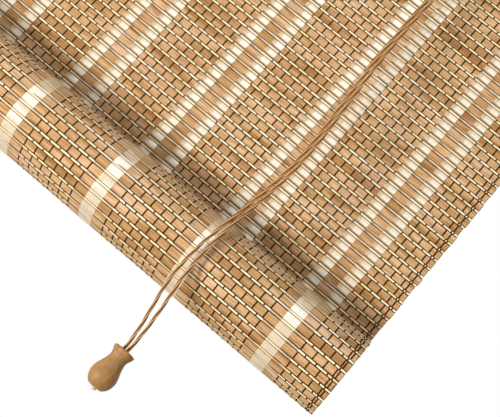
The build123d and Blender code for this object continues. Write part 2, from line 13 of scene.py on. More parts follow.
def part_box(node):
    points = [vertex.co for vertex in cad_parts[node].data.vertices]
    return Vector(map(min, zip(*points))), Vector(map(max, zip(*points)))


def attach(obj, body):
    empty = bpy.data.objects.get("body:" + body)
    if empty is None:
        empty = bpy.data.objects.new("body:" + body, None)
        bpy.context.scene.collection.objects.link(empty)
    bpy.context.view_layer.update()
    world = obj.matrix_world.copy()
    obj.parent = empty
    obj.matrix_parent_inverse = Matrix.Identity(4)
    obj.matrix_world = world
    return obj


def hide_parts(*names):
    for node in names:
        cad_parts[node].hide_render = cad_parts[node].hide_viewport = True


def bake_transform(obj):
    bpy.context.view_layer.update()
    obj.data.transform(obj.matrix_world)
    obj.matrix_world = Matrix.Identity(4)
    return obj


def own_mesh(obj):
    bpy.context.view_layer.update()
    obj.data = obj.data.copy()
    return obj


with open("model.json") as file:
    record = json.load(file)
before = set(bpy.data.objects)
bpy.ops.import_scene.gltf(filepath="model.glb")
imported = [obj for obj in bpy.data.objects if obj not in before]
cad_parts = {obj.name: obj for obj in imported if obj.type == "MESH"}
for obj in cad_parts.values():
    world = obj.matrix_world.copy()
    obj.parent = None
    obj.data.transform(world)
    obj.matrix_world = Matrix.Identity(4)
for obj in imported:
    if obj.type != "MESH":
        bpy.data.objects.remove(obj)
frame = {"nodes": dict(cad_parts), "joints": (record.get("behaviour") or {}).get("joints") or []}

LOG = logging.getLogger("blind")
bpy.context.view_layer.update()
SEED = 41
FULL_TURN = 2 * math.pi
MM_PER_METRE = 1000
ALONG_SLATS = (1, 0, 0)
TO_WALL = (0, 1, 0)
UP = (0, 0, 1)

Point = tuple[float, float, float]
Colour = tuple[float, float, float]
Span = tuple[float, float]
Path = list[tuple[float, float]]
Faces = list[list[int] | tuple[int, ...]]


class Side(Enum):
    """The two sides of the blind that carry a lift cord."""

    LEFT = "left"
    RIGHT = "right"


class Over(Enum):
    """What a warp strand crosses on the mat's front face."""

    SLATS = "slats"
    STICKS = "sticks"


class Bench:
    """Hand tools: selecting, shaping and finishing meshes."""

    MERGE_DISTANCE = 1e-6

    @staticmethod
    def clear() -> None:
        """Deselects everything."""
        bpy.ops.object.select_all(action="DESELECT")

    @staticmethod
    def pick(piece: bpy.types.Object) -> None:
        """Makes one piece the only selected one.

        Args:
            piece: The piece.
        """
        Bench.clear()
        piece.select_set(True)
        bpy.context.view_layer.objects.active = piece

    @staticmethod
    def modify(piece: bpy.types.Object, kind: str, **settings: object) -> None:
        """Adds a modifier to a piece and applies it.

        Args:
            piece: The mesh object to change.
            kind: The modifier's type.
            settings: Values for the modifier's own properties.
        """
        Bench.pick(piece)
        modifier = piece.modifiers.new(kind.lower(), kind)
        for name, value in settings.items():
            setattr(modifier, name, value)
        bpy.ops.object.modifier_apply(modifier=modifier.name)

    @staticmethod
    def smooth(piece: bpy.types.Object, degrees: float = 40) -> None:
        """Shades a piece smooth, with sharp edges where it turns by more than an angle."""
        Bench.pick(piece)
        bpy.ops.object.shade_smooth_by_angle(angle=math.radians(degrees))

    @staticmethod
    def bar(length: float, thickness: float, width: float, edge: float, cuts: int) -> bpy.types.Object:
        """Models a bar along X with eased edges, cut across at even steps.

        Args:
            length: Size along X.
            thickness: Size along Y.
            width: Size along Z.
            edge: Width of the eased edges.
            cuts: Number of cuts across the length.

        Returns:
            The bar, centred on the origin.
        """
        Bench.clear()
        bpy.ops.mesh.primitive_cube_add(size=1)
        bar = bpy.context.active_object
        bpy.ops.object.mode_set(mode="EDIT")
        bpy.ops.transform.resize(value=(length, thickness, width))
        for cut in range(1, cuts + 1):
            bpy.ops.mesh.select_all(action="SELECT")
            place = length * (cut / (cuts + 1) - 1 / 2)
            bpy.ops.mesh.bisect(plane_co=(place, 0, 0), plane_no=ALONG_SLATS)
        bpy.ops.object.mode_set(mode="OBJECT")
        Bench.modify(bar, "BEVEL", width=edge, segments=1, limit_method="ANGLE")
        return bar

    @staticmethod
    def lathe(profile: Path, steps: int, place: Point, levels: int) -> bpy.types.Object:
        """Turns a profile about an upright axis and smooths it.

        Args:
            profile: Radius and height of each point, from one end of the line to the other.
            steps: Number of steps round the axis.
            place: Foot of the axis.
            levels: Levels of subdivision.

        Returns:
            The turned piece.
        """
        Bench.clear()
        mesh = bpy.data.meshes.new("profile")
        edges = [(index, index + 1) for index in range(len(profile) - 1)]
        mesh.from_pydata([(radius, 0, height) for radius, height in profile], edges, [])
        turned = bpy.data.objects.new("profile", mesh)
        bpy.context.collection.objects.link(turned)
        Bench.pick(turned)
        bpy.ops.object.mode_set(mode="EDIT")
        bpy.ops.mesh.select_all(action="SELECT")
        bpy.ops.mesh.spin(steps=steps, angle=FULL_TURN, center=(0, 0, 0), axis=UP)
        bpy.ops.mesh.select_all(action="SELECT")
        bpy.ops.mesh.remove_doubles(threshold=Bench.MERGE_DISTANCE)
        bpy.ops.mesh.normals_make_consistent(inside=False)
        bpy.ops.transform.translate(value=place)
        bpy.ops.object.mode_set(mode="OBJECT")
        Bench.modify(turned, "SUBSURF", levels=levels, render_levels=levels)
        return turned

    @staticmethod
    def finish(piece: bpy.types.Object, name: str, material: bpy.types.Material,
               slot: str) -> bpy.types.Object:
        """Names a piece and gives it its material.

        Args:
            piece: The finished mesh object.
            name: Its name.
            material: Its only material.
            slot: Not used.

        Returns:
            The same object.
        """
        piece.name = name
        piece.data.name = name
        piece.data.materials.clear()
        piece.data.materials.append(material)
        LOG.info("%s: %d faces", name, len(piece.data.polygons))
        return piece


class Copies:
    """One piece modelled once and copied many times into one mesh."""

    # Where the rim value starts: it paints shade along a bar's long edges, for the dark grooves between slats
    # and sticks.
    GROOVE_SHADE_START = 0.83
    BOW_WAVES = (0.5, 2.5)

    def __init__(self, model: bpy.types.Object) -> None:
        """Takes the model's points and faces, and removes the model.

        Args:
            model: The bar that is copied, along X.
        """
        mesh = model.data
        self.points = np.array([vertex.co for vertex in mesh.vertices], float)
        across = np.abs(self.points[:, 2])
        # Painted shade: 0 across the face, rising to 1 at the long edges.
        self.rim = np.clip((across / across.max() - self.GROOVE_SHADE_START) / (1 - self.GROOVE_SHADE_START), 0, 1)
        self.faces = [tuple(face.vertices) for face in mesh.polygons]
        bpy.data.objects.remove(model)
        bpy.data.meshes.remove(mesh)

    def lay(self, places: list[Matrix], rng: np.random.Generator, wander: float,
            trim: float) -> bpy.types.Object:
        """Lays a copy at each place, each a little bowed and with its own tone.

        Args:
            places: A matrix for each copy.
            rng: The source of the small differences.
            wander: How far a copy bows from its line.
            trim: How much a copy's ends differ in length.

        Returns:
            The new mesh object.
        """
        count = len(self.points)
        half_length = self.points[:, 0].max()
        all_points, faces, tones = [], [], []
        for index, place in enumerate(places):
            points = self.points.copy()
            share = points[:, 0] / half_length
            waves = rng.uniform(*self.BOW_WAVES, 2)
            phases = rng.uniform(0, FULL_TURN, 2)
            bow = sum(np.sin(wave * share * math.pi + phase) for wave, phase in zip(waves, phases))
            points[:, 2] += wander * bow / 2
            points[:, 0] += share * rng.uniform(-trim, trim)
            turn = np.array(place.to_3x3(), float)
            all_points.append(points @ turn.T + np.array(place.translation, float))
            faces += [tuple(corner + index * count for corner in face) for face in self.faces]
            tones.append(np.full(count, rng.random()))
        values = {"tone": np.concatenate(tones), "rim": np.tile(self.rim, len(places))}
        return Sweep.mesh_object(np.concatenate(all_points), faces, values)


class Sweep:
    """Meshes swept along lines: threads, yarn and the plies of a cord."""

    @staticmethod
    def mesh_object(points: np.ndarray, faces: Faces, values: dict[str, np.ndarray]) -> bpy.types.Object:
        """Makes a mesh object from points and faces, with a value at each point.

        Args:
            points: Rows of x, y and z.
            faces: Corner numbers of each face.
            values: Named attributes, one value for each point.

        Returns:
            The new object, linked to the scene.
        """
        mesh = bpy.data.meshes.new("sweep")
        mesh.from_pydata(points.tolist(), [], faces)
        for name, column in values.items():
            attribute = mesh.attributes.new(name, "FLOAT", "POINT")
            attribute.data.foreach_set("value", column.astype(np.float32))
        piece = bpy.data.objects.new("sweep", mesh)
        bpy.context.collection.objects.link(piece)
        return piece

    @staticmethod
    def frames(lines: np.ndarray, across: Point) -> tuple[np.ndarray, np.ndarray]:
        """Directions square to each line: one nearest to a given way, and one square to that.

        Args:
            lines: Points of each line, as lines by points by 3.
            across: The way that the first direction keeps to.

        Returns:
            The two directions at each point.
        """
        along = np.gradient(lines, axis=1)
        along /= np.linalg.norm(along, axis=2, keepdims=True)
        way = np.array(across, float)
        side = way - (along @ way)[..., None] * along
        side /= np.linalg.norm(side, axis=2, keepdims=True)
        return side, np.cross(along, side)

    @staticmethod
    def tubes(lines: np.ndarray, section: np.ndarray, across: Point) -> tuple[np.ndarray, Faces]:
        """Sweeps a closed section along each line, and closes both ends.

        Args:
            lines: Points of each line, as lines by points by 3.
            section: Corners of the section, as offsets along the two square directions.
            across: The way that the section's first direction keeps to.

        Returns:
            The points and the faces.
        """
        side, out = Sweep.frames(lines, across)
        rings = (lines[:, :, None, :]
                 + side[:, :, None, :] * section[None, None, :, :1]
                 + out[:, :, None, :] * section[None, None, :, 1:])
        line_count, ring_count, corner_count = rings.shape[:3]
        numbers = np.arange(line_count * ring_count * corner_count).reshape(rings.shape[:3])
        following = np.roll(numbers, -1, axis=2)
        quads = np.stack([numbers[:, :-1], following[:, :-1], following[:, 1:], numbers[:, 1:]], axis=-1)
        faces = quads.reshape(-1, 4).tolist()
        faces += numbers[:, 0, ::-1].tolist()
        faces += numbers[:, -1].tolist()
        return rings.reshape(-1, 3), faces

    @staticmethod
    def ring(radius: float, corners: int) -> np.ndarray:
        """A round section with a few corners."""
        angles = np.arange(corners) * FULL_TURN / corners
        return np.stack([np.cos(angles), np.sin(angles)], axis=1) * radius


class Recipe:
    """A material's node tree, with one method for each step that the finishes share."""

    # The Mix node has a set of sockets for each kind of value.
    FACTOR, FIRST_NUMBER, SECOND_NUMBER, FIRST_COLOUR, SECOND_COLOUR = 0, 2, 3, 6, 7
    NUMBER_RESULT, COLOUR_RESULT = 0, 2

    def __init__(self, name: str) -> None:
        """Starts a material with its shader and output.

        Args:
            name: The material's name.
        """
        self.material = bpy.data.materials.new(name)
        self.material.use_nodes = True
        self.tree = self.material.node_tree
        self.shader = self.tree.nodes["Principled BSDF"]

    def add(self, kind: str, **settings: object) -> bpy.types.Node:
        """Adds a node and sets its own properties.

        Args:
            kind: The node's type.
            settings: Values for its properties.

        Returns:
            The node.
        """
        node = self.tree.nodes.new(kind)
        for name, value in settings.items():
            setattr(node, name, value)
        return node

    def link(self, source: bpy.types.NodeSocket, target: bpy.types.NodeSocket) -> None:
        """Joins an output to an input."""
        self.tree.links.new(source, target)

    def place(self, stretch: Point) -> bpy.types.NodeSocket:
        """Object coordinates, scaled along each axis.

        Args:
            stretch: The scale along each axis.

        Returns:
            The scaled coordinates.
        """
        coordinates = self.add("ShaderNodeTexCoord")
        mapping = self.add("ShaderNodeMapping")
        mapping.inputs["Scale"].default_value = stretch
        self.link(coordinates.outputs["Object"], mapping.inputs["Vector"])
        return mapping.outputs["Vector"]

    def noise(self, stretch: Point, detail: float = 3, roughness: float = 0.55) -> bpy.types.NodeSocket:
        """Noise on stretched object coordinates.

        Args:
            stretch: Its scale along each axis.
            detail: Number of finer layers.
            roughness: Strength of the finer layers.

        Returns:
            The noise.
        """
        texture = self.add("ShaderNodeTexNoise")
        texture.inputs["Scale"].default_value = 1
        texture.inputs["Detail"].default_value = detail
        texture.inputs["Roughness"].default_value = roughness
        self.link(self.place(stretch), texture.inputs["Vector"])
        return texture.outputs["Fac"]

    def value(self, name: str) -> bpy.types.NodeSocket:
        """A named value of the mesh."""
        attribute = self.add("ShaderNodeAttribute", attribute_name=name)
        return attribute.outputs["Fac"]

    def sum(self, first: bpy.types.NodeSocket, second: bpy.types.NodeSocket,
            share: float) -> bpy.types.NodeSocket:
        """Mixes two values.

        Args:
            first: The value that keeps what the share leaves.
            second: The value that is mixed in.
            share: How much of the second is in the result.

        Returns:
            The mixed value.
        """
        mix = self.add("ShaderNodeMix", data_type="FLOAT")
        mix.inputs[self.FACTOR].default_value = share
        self.link(first, mix.inputs[self.FIRST_NUMBER])
        self.link(second, mix.inputs[self.SECOND_NUMBER])
        return mix.outputs[self.NUMBER_RESULT]

    def ramp(self, factor: bpy.types.NodeSocket, places: tuple[float, ...],
             colours: tuple[Colour, ...]) -> bpy.types.NodeSocket:
        """A colour ramp through a few stops.

        Args:
            factor: The value that picks the colour.
            places: Where each stop is, from low to high.
            colours: The colour of each stop.

        Returns:
            The colour.
        """
        node = self.add("ShaderNodeValToRGB")
        elements = node.color_ramp.elements
        while len(elements) < len(places):
            elements.new(1)
        for element, place, colour in zip(elements, places, colours):
            element.position = place
            element.color = (*colour, 1)
        self.link(factor, node.inputs["Fac"])
        return node.outputs["Color"]

    def tint(self, colour: bpy.types.NodeSocket, factor: bpy.types.NodeSocket,
             other: Colour) -> bpy.types.NodeSocket:
        """Mixes another colour in by a factor.

        Args:
            colour: The colour so far.
            factor: How much of the other colour shows.
            other: The colour that is mixed in.

        Returns:
            The mixed colour.
        """
        mix = self.add("ShaderNodeMix", data_type="RGBA")
        mix.inputs[self.SECOND_COLOUR].default_value = (*other, 1)
        self.link(factor, mix.inputs[self.FACTOR])
        self.link(colour, mix.inputs[self.FIRST_COLOUR])
        return mix.outputs[self.COLOUR_RESULT]

    def level(self, factor: bpy.types.NodeSocket, low: float, high: float,
              span: Span = (0, 1)) -> bpy.types.NodeSocket:
        """Maps a value to a new range, and holds it there.

        Args:
            factor: The value.
            low: The result at the span's start.
            high: The result at the span's end.
            span: Where the value starts and ends.

        Returns:
            The new value.
        """
        node = self.add("ShaderNodeMapRange")
        for socket, number in zip(("From Min", "From Max", "To Min", "To Max"), (*span, low, high)):
            node.inputs[socket].default_value = number
        self.link(factor, node.inputs["Value"])
        return node.outputs["Result"]

    def rough(self, factor: bpy.types.NodeSocket, low: float, high: float, span: Span = (0, 1)) -> None:
        """Sends a mapped value to the shader's roughness."""
        self.link(self.level(factor, low, high, span), self.shader.inputs["Roughness"])

    def bump(self, height: bpy.types.NodeSocket, strength: float, distance: float) -> None:
        """Raises the surface by a height.

        Args:
            height: The height at each point.
            strength: How strong the relief looks.
            distance: How high it stands, in metres.
        """
        node = self.add("ShaderNodeBump")
        node.inputs["Strength"].default_value = strength
        node.inputs["Distance"].default_value = distance
        self.link(height, node.inputs["Height"])
        self.link(node.outputs["Normal"], self.shader.inputs["Normal"])

    def colour(self, colour: bpy.types.NodeSocket) -> None:
        """Sends a colour to the shader."""
        self.link(colour, self.shader.inputs["Base Color"])

    def set(self, **sockets: float) -> None:
        """Sets plain numbers on the shader, with _ for a space in a socket's name."""
        for name, value in sockets.items():
            self.shader.inputs[name.replace("_", " ")].default_value = value


@dataclass(frozen=True)
class Bamboo:
    """Split bamboo: a tone for each slat, patches along it, fine fibres and painted shade along the long
    edges, where the grooves between slat and stick fall dark.
    """

    name: str
    dark: Colour
    middle: Colour
    pale: Colour
    stain: Colour
    fibre: Colour
    # Colour of the painted shade along the long edges, where the grooves fall dark.
    rim: Colour
    gloss: float = 0.5
    gloss_span: Span = (-0.08, 0.16)
    tone_stops: Point = (0.08, 0.5, 0.95)
    patch_stretch: Point = (24, 150, 150)
    patch_span: Span = (0.37, 0.63)
    patch_share: float = 0.55
    stain_stretch: Point = (70, 420, 420)
    stain_span: Span = (0.48, 0.68)
    stain_share: float = 0.7
    fibre_stretch: Point = (55, 1100, 1100)
    fibre_span: Span = (0.46, 0.7)
    fibre_share: float = 0.9
    groove_shade_span: Span = (0, 0.55)
    groove_shade_share: float = 0.97
    relief: Span = (0.35, 0.00025)
    shine: float = 0.05
    shine_tint: Colour = (1, 0.75, 0.45)

    def material(self) -> bpy.types.Material:
        """Builds the node material.

        Returns:
            The material, which reads the mesh's tone and rim.
        """
        recipe = Recipe(self.name)
        patches = recipe.noise(self.patch_stretch, detail=2)
        patches = recipe.level(patches, 0, 1, self.patch_span)
        shade = recipe.sum(recipe.value("tone"), patches, self.patch_share)
        colour = recipe.ramp(shade, self.tone_stops, (self.dark, self.middle, self.pale))
        stains = recipe.noise(self.stain_stretch, detail=2)
        colour = recipe.tint(colour, recipe.level(stains, 0, self.stain_share, self.stain_span), self.stain)
        fibres = recipe.noise(self.fibre_stretch, detail=4, roughness=0.65)
        colour = recipe.tint(colour, recipe.level(fibres, 0, self.fibre_share, self.fibre_span), self.fibre)
        # Painted shade along the long edges, for the dark grooves beside each slat and stick.
        edges = recipe.level(recipe.value("rim"), 0, self.groove_shade_share, self.groove_shade_span)
        recipe.colour(recipe.tint(colour, edges, self.rim))
        recipe.rough(fibres, *(self.gloss + step for step in self.gloss_span))
        recipe.bump(fibres, *self.relief)
        recipe.set(Specular_IOR_Level=self.shine)
        recipe.shader.inputs["Specular Tint"].default_value = (*self.shine_tint, 1)
        return recipe.material


@dataclass(frozen=True)
class Fibre:
    """Thread or knotted cord: one colour with fine darker strands."""

    name: str
    colour: Colour
    shade: Colour
    stretch: Point
    roughness: float
    sheen: float
    stops: Span = (0.3, 0.62)
    relief: Span = (0.5, 0.0002)

    def material(self) -> bpy.types.Material:
        """Builds the node material.

        Returns:
            The material.
        """
        recipe = Recipe(self.name)
        strands = recipe.noise(self.stretch)
        recipe.colour(recipe.ramp(strands, self.stops, (self.shade, self.colour)))
        recipe.bump(strands, *self.relief)
        recipe.set(Roughness=self.roughness, Sheen_Weight=self.sheen, Specular_IOR_Level=0)
        return recipe.material


@dataclass(frozen=True)
class Satin:
    """Yarn of fine glossy strands, which hides the bamboo where it lies thick; its ramp also paints shade in
    the grooves and highlight on each bundle.
    """

    name: str
    # Painted shade where the yarn dips into the grooves and passes behind the sticks.
    yarn_groove_shade: Colour
    thin: Colour
    thick: Colour
    stretch: Point = (1350, 90, 60)
    strand_share: float = 0.3
    stops: Point = (0.18, 0.36, 0.82)
    bare_roughness: float = 0.65
    yarn_roughness: float = 0.3
    roughness_span: Span = (0.2, 0.6)
    relief: Span = (0.12, 0.0002)
    bend: float = 1.55
    shine: float = 0.75

    def material(self) -> bpy.types.Material:
        """Builds the node material.

        Returns:
            The material, which reads the mesh's cover.
        """
        recipe = Recipe(self.name)
        strands = recipe.noise(self.stretch)
        # The mesh's value places the yarn's thickness together with painted highlight and painted shade.
        cover_and_painted_light = recipe.sum(recipe.value("cover_and_painted_light"), strands, self.strand_share)
        recipe.colour(recipe.ramp(cover_and_painted_light, self.stops, (self.yarn_groove_shade, self.thin, self.thick)))
        recipe.rough(cover_and_painted_light, self.bare_roughness, self.yarn_roughness, self.roughness_span)
        recipe.bump(strands, *self.relief)
        recipe.set(IOR=self.bend, Specular_IOR_Level=self.shine)
        return recipe.material


@dataclass(frozen=True)
class Plied:
    """Twisted cord: painted highlight along the outer line of each ply and painted shade where the plies
    meet.
    """

    name: str
    # Painted shade where the plies meet.
    ply_groove_shade: Colour
    body: Colour
    # Painted highlight along the outer line of each ply.
    painted_crest_light: Colour
    fuzz_stretch: Point = (1800, 1800, 500)
    fuzz_share: float = 0.25
    stops: Point = (0.48, 0.68, 0.88)
    relief: Span = (0.5, 0.0002)
    roughness: float = 0.6
    shine: float = 0.1

    def material(self) -> bpy.types.Material:
        """Builds the node material.

        Returns:
            The material, which reads the mesh's crest.
        """
        recipe = Recipe(self.name)
        fuzz = recipe.noise(self.fuzz_stretch)
        # The mesh's value runs from painted shade between the plies to painted highlight on their outer
        # lines.
        height = recipe.sum(recipe.value("painted_crest_light"), fuzz, self.fuzz_share)
        recipe.colour(recipe.ramp(height, self.stops, (self.ply_groove_shade, self.body, self.painted_crest_light)))
        recipe.bump(fuzz, *self.relief)
        recipe.set(Roughness=self.roughness, Specular_IOR_Level=self.shine)
        return recipe.material


@dataclass(frozen=True)
class Timber:
    """Planed or turned wood with grain along one way."""

    name: str
    dark: Colour
    pale: Colour
    stain: Colour
    grain: Point
    roughness: float = 0.45
    roughness_span: Span = (-0.1, 0.15)
    stops: Span = (0.3, 0.68)
    patch_size: float = 6
    stain_span: Span = (0.5, 0.75)
    stain_share: float = 0.6
    relief: Span = (0.15, 0.0003)
    shine: float = 0.3

    def material(self) -> bpy.types.Material:
        """Builds the node material.

        Returns:
            The material.
        """
        recipe = Recipe(self.name)
        grain = recipe.noise(self.grain, detail=5, roughness=0.6)
        colour = recipe.ramp(grain, self.stops, (self.dark, self.pale))
        patches = recipe.noise(tuple(step / self.patch_size for step in self.grain), detail=2)
        stains = recipe.level(patches, 0, self.stain_share, self.stain_span)
        recipe.colour(recipe.tint(colour, stains, self.stain))
        recipe.rough(grain, *(self.roughness + step for step in self.roughness_span))
        recipe.bump(grain, *self.relief)
        recipe.set(Specular_IOR_Level=self.shine)
        return recipe.material


@dataclass(frozen=True)
class Hardware:
    """Metal or moulded plastic with fine brushing and worn patches."""

    name: str
    colour: Colour
    worn: Colour
    metallic: float
    roughness: float
    roughness_span: Span = (-0.08, 0.12)
    patch_stretch: Point = (160, 160, 160)
    stops: Span = (0.35, 0.6)
    brush_stretch: Point = (900, 2500, 4000)
    relief: Span = (0.08, 0.0001)

    def material(self) -> bpy.types.Material:
        """Builds the node material.

        Returns:
            The material.
        """
        recipe = Recipe(self.name)
        patches = recipe.noise(self.patch_stretch, detail=4)
        recipe.colour(recipe.ramp(patches, self.stops, (self.worn, self.colour)))
        brushing = recipe.noise(self.brush_stretch, detail=2)
        recipe.rough(brushing, *(self.roughness + step for step in self.roughness_span))
        recipe.bump(brushing, *self.relief)
        recipe.set(Metallic=self.metallic)
        return recipe.material


# The last colour of each bamboo is painted shade for the dark grooves at its edges.
SLAT_BAMBOO = Bamboo("slat_bamboo", (0.38, 0.175, 0.064), (0.70, 0.415, 0.205), (0.83, 0.55, 0.345),
                     (0.58, 0.36, 0.12), (0.29, 0.14, 0.045), (0.085, 0.021, 0.002))
STICK_BAMBOO = Bamboo("stick_bamboo", (0.92, 0.73, 0.41), (1, 0.88, 0.57), (1, 0.95, 0.74),
                      (0.96, 0.78, 0.43), (0.80, 0.56, 0.28), (0.12, 0.031, 0.004), gloss=0.38)
DARK_THREAD = Fibre("dark_thread", (0.070, 0.024, 0.005), (0.020, 0.007, 0.001),
                    stretch=(1500, 1500, 1500), roughness=0.9, sheen=0)
# The first colour of the yarn is painted shade for the grooves; its ramp also paints the highlight.
WHITE_YARN = Satin("white_yarn", (0.17, 0.085, 0.028), (0.57, 0.40, 0.215), (0.87, 0.795, 0.665))
# The cord's first colour is painted shade between the plies, and its last is a painted highlight on their
# outer lines.
BROWN_CORD = Plied("brown_cord", (0.030, 0.010, 0.003), (0.27, 0.115, 0.034), (0.70, 0.385, 0.16))
KNOT_CORD = Fibre("knot_cord", (0.80, 0.74, 0.62), (0.52, 0.42, 0.28),
                  stretch=(900, 900, 900), roughness=0.6, sheen=0.2)
RAIL_WOOD = Timber("rail_wood", (0.38, 0.20, 0.085), (0.58, 0.36, 0.18), (0.30, 0.15, 0.06),
                   grain=(10, 220, 220))
ROD_WOOD = Timber("rod_wood", (0.50, 0.32, 0.16), (0.70, 0.52, 0.32), (0.42, 0.25, 0.11),
                  grain=(10, 260, 260))
ACORN_WOOD = Timber("acorn_wood", (0.28, 0.13, 0.036), (0.47, 0.245, 0.085), (0.26, 0.15, 0.043),
                    grain=(420, 420, 70))
STEEL = Hardware("steel", (0.62, 0.61, 0.58), (0.45, 0.44, 0.41), metallic=1, roughness=0.34)
LOCK_METAL = Hardware("lock_metal", (0.55, 0.47, 0.30), (0.40, 0.33, 0.20), metallic=1, roughness=0.38)
WHEEL_PLASTIC = Hardware("wheel_plastic", (0.75, 0.72, 0.64), (0.62, 0.58, 0.50),
                         metallic=0, roughness=0.42)


@dataclass(frozen=True)
class Weave:
    """Sizes of the mat's weave, and the places that follow from them."""

    slat_width: float = 0.00586
    slat_thickness: float = 0.0015
    stick_width: float = 0.0017
    stick_depth: float = 0.002
    gap: float = 0.00002
    yarn_width: float = 0.00935
    middle_yarn_width: float = 0.01065
    field_width: float = 0.0444
    band_count: int = 16
    rows: int = 68
    thread_step: float = 0.00875
    field_steps: int = 5
    press_share: float = 0.8
    slat_reach_share: float = 0.48
    stick_reach_share: float = 0.26
    sag_shares: tuple[Span, ...] = ((-1, 0), (-0.74, 0.8), (-0.3, 1), (0.87, 0.2), (1, 0))
    margin_slat_crossings: tuple[float, ...] = (0.66, 1.66, 2.66, 3.14)
    margin_stick_crossings: tuple[float, ...] = (0.11, 1.17, 2.14, 3.03, 3.26)

    @property
    def pitch(self) -> float:
        """From one slat to the next."""
        return self.slat_width + self.stick_width + 2 * self.gap

    @property
    def band_width(self) -> float:
        """A band of three yarn bundles."""
        return 2 * self.yarn_width + self.middle_yarn_width

    def height(self, over: Over) -> float:
        """The height of the slat or the stick in its pitch."""
        if over is Over.STICKS:
            return (self.gap + self.stick_width) / 2
        return self.pitch - (self.gap + self.slat_width) / 2

    def band_centres(self) -> list[float]:
        """The middle of each yarn band."""
        step = self.band_width + self.field_width
        return [(band - (self.band_count - 1) / 2) * step for band in range(self.band_count)]

    def outer_yarn_places(self) -> list[float]:
        """The middles of the bundles that cross the slats in front."""
        reach = (self.middle_yarn_width + self.yarn_width) / 2
        return [centre + side * reach for centre in self.band_centres() for side in (-1, 1)]

    def thread_places(self, over: Over) -> list[float]:
        """Where the dark threads of one kind run.

        Args:
            over: What the threads cross in front.

        Returns:
            The place of each thread across the blind.
        """
        crossings = range(self.field_steps) if over is Over.SLATS else range(self.field_steps + 1)
        start = 1 / 2 if over is Over.SLATS else 0
        inset = (self.field_width - self.field_steps * self.thread_step) / 2
        centres = self.band_centres()
        places = []
        for centre in centres[:-1]:
            left = centre + self.band_width / 2 + inset
            places += [left + (start + crossing) * self.thread_step for crossing in crossings]
        margin = self.margin_slat_crossings if over is Over.SLATS else self.margin_stick_crossings
        edge = centres[-1] + self.band_width / 2
        places += [side * (edge + step * self.thread_step) for step in margin for side in (-1, 1)]
        return sorted(places)

    def crossing_path(self, over: Over, bulk: float) -> Path:
        """One pitch of a dark thread, from below a stick to above its slat.

        Args:
            over: What the thread crosses in front.
            bulk: Half the thread's thickness.

        Returns:
            Height in the pitch and distance behind the mat's middle plane.
        """
        front = -1 if over is Over.SLATS else 1
        stick_depth = -front * (self.stick_depth / 2 + bulk * self.press_share)
        slat_depth = front * (self.slat_thickness / 2 + bulk * self.press_share)
        stick_height, slat_height = self.height(Over.STICKS), self.height(Over.SLATS)
        stick_reach = self.stick_width * self.stick_reach_share
        slat_reach = self.slat_width * self.slat_reach_share
        return [
            (stick_height - stick_reach, stick_depth),
            (stick_height + stick_reach, stick_depth),
            (slat_height - slat_reach, slat_depth),
            (slat_height + slat_reach, slat_depth),
        ]

    def bundle_path(self, over: Over, bulk: float, crown: float) -> Path:
        """One pitch of a yarn bundle, which sags to its fullest near the foot of each slat.

        Args:
            over: What the bundle crosses in front.
            bulk: Half the bundle's thickness.
            crown: How far it swells.

        Returns:
            Height in the pitch and distance behind the mat's middle plane.
        """
        first_stick, second_stick, low, high = self.crossing_path(over, bulk)
        middle, reach = (low[0] + high[0]) / 2, (high[0] - low[0]) / 2
        swell = math.copysign(crown, low[1])
        path = [first_stick, second_stick]
        for height_share, swell_share in self.sag_shares:
            path.append((middle + reach * height_share, low[1] + swell * swell_share))
        return path


WEAVE = Weave()


@dataclass(frozen=True)
class RollForm:
    """The wound part of the mat: a spiral about the roll's axis."""

    axis_y: float
    axis_z: float
    radius: float
    advance: float = 0.0026
    turns: int = 8
    slack: float = 0.0029
    slack_run: float = 0.0456

    def angle(self, travel: np.ndarray) -> np.ndarray:
        """The angle round the roll after a length of mat, from the rear and going down.

        Args:
            travel: Length of mat from the tangent, whose first rows lie a little apart.

        Returns:
            The angle in radians.
        """
        slope = self.advance / FULL_TURN
        eased = travel + self.slack * np.minimum(travel / self.slack_run, 1)
        return (self.radius - np.sqrt(self.radius ** 2 - 2 * slope * eased)) / slope

    def point(self, travel: np.ndarray, out: np.ndarray) -> tuple[np.ndarray, np.ndarray]:
        """The place of a point of the mat on the roll.

        Args:
            travel: Length of mat from the tangent.
            out: Distance outside the mat's middle surface.

        Returns:
            Its y and z.
        """
        angle = self.angle(travel)
        reach = self.radius - self.advance * angle / FULL_TURN + out
        return self.axis_y + reach * np.cos(angle), self.axis_z - reach * np.sin(angle)

    def place(self, travel: float) -> Matrix:
        """Where a slat or stick lies on the roll, turned with it.

        Args:
            travel: Length of mat from the tangent.

        Returns:
            Its place and turn.
        """
        y, z = self.point(np.array(travel), np.array(0.0))
        turn = Matrix.Rotation(-float(self.angle(np.array(travel))), 4, "X")
        return Matrix.Translation((0, float(y), float(z))) @ turn

    def length(self) -> float:
        """The length of mat in the roll."""
        return FULL_TURN * self.turns * (self.radius - self.advance * self.turns / 2)


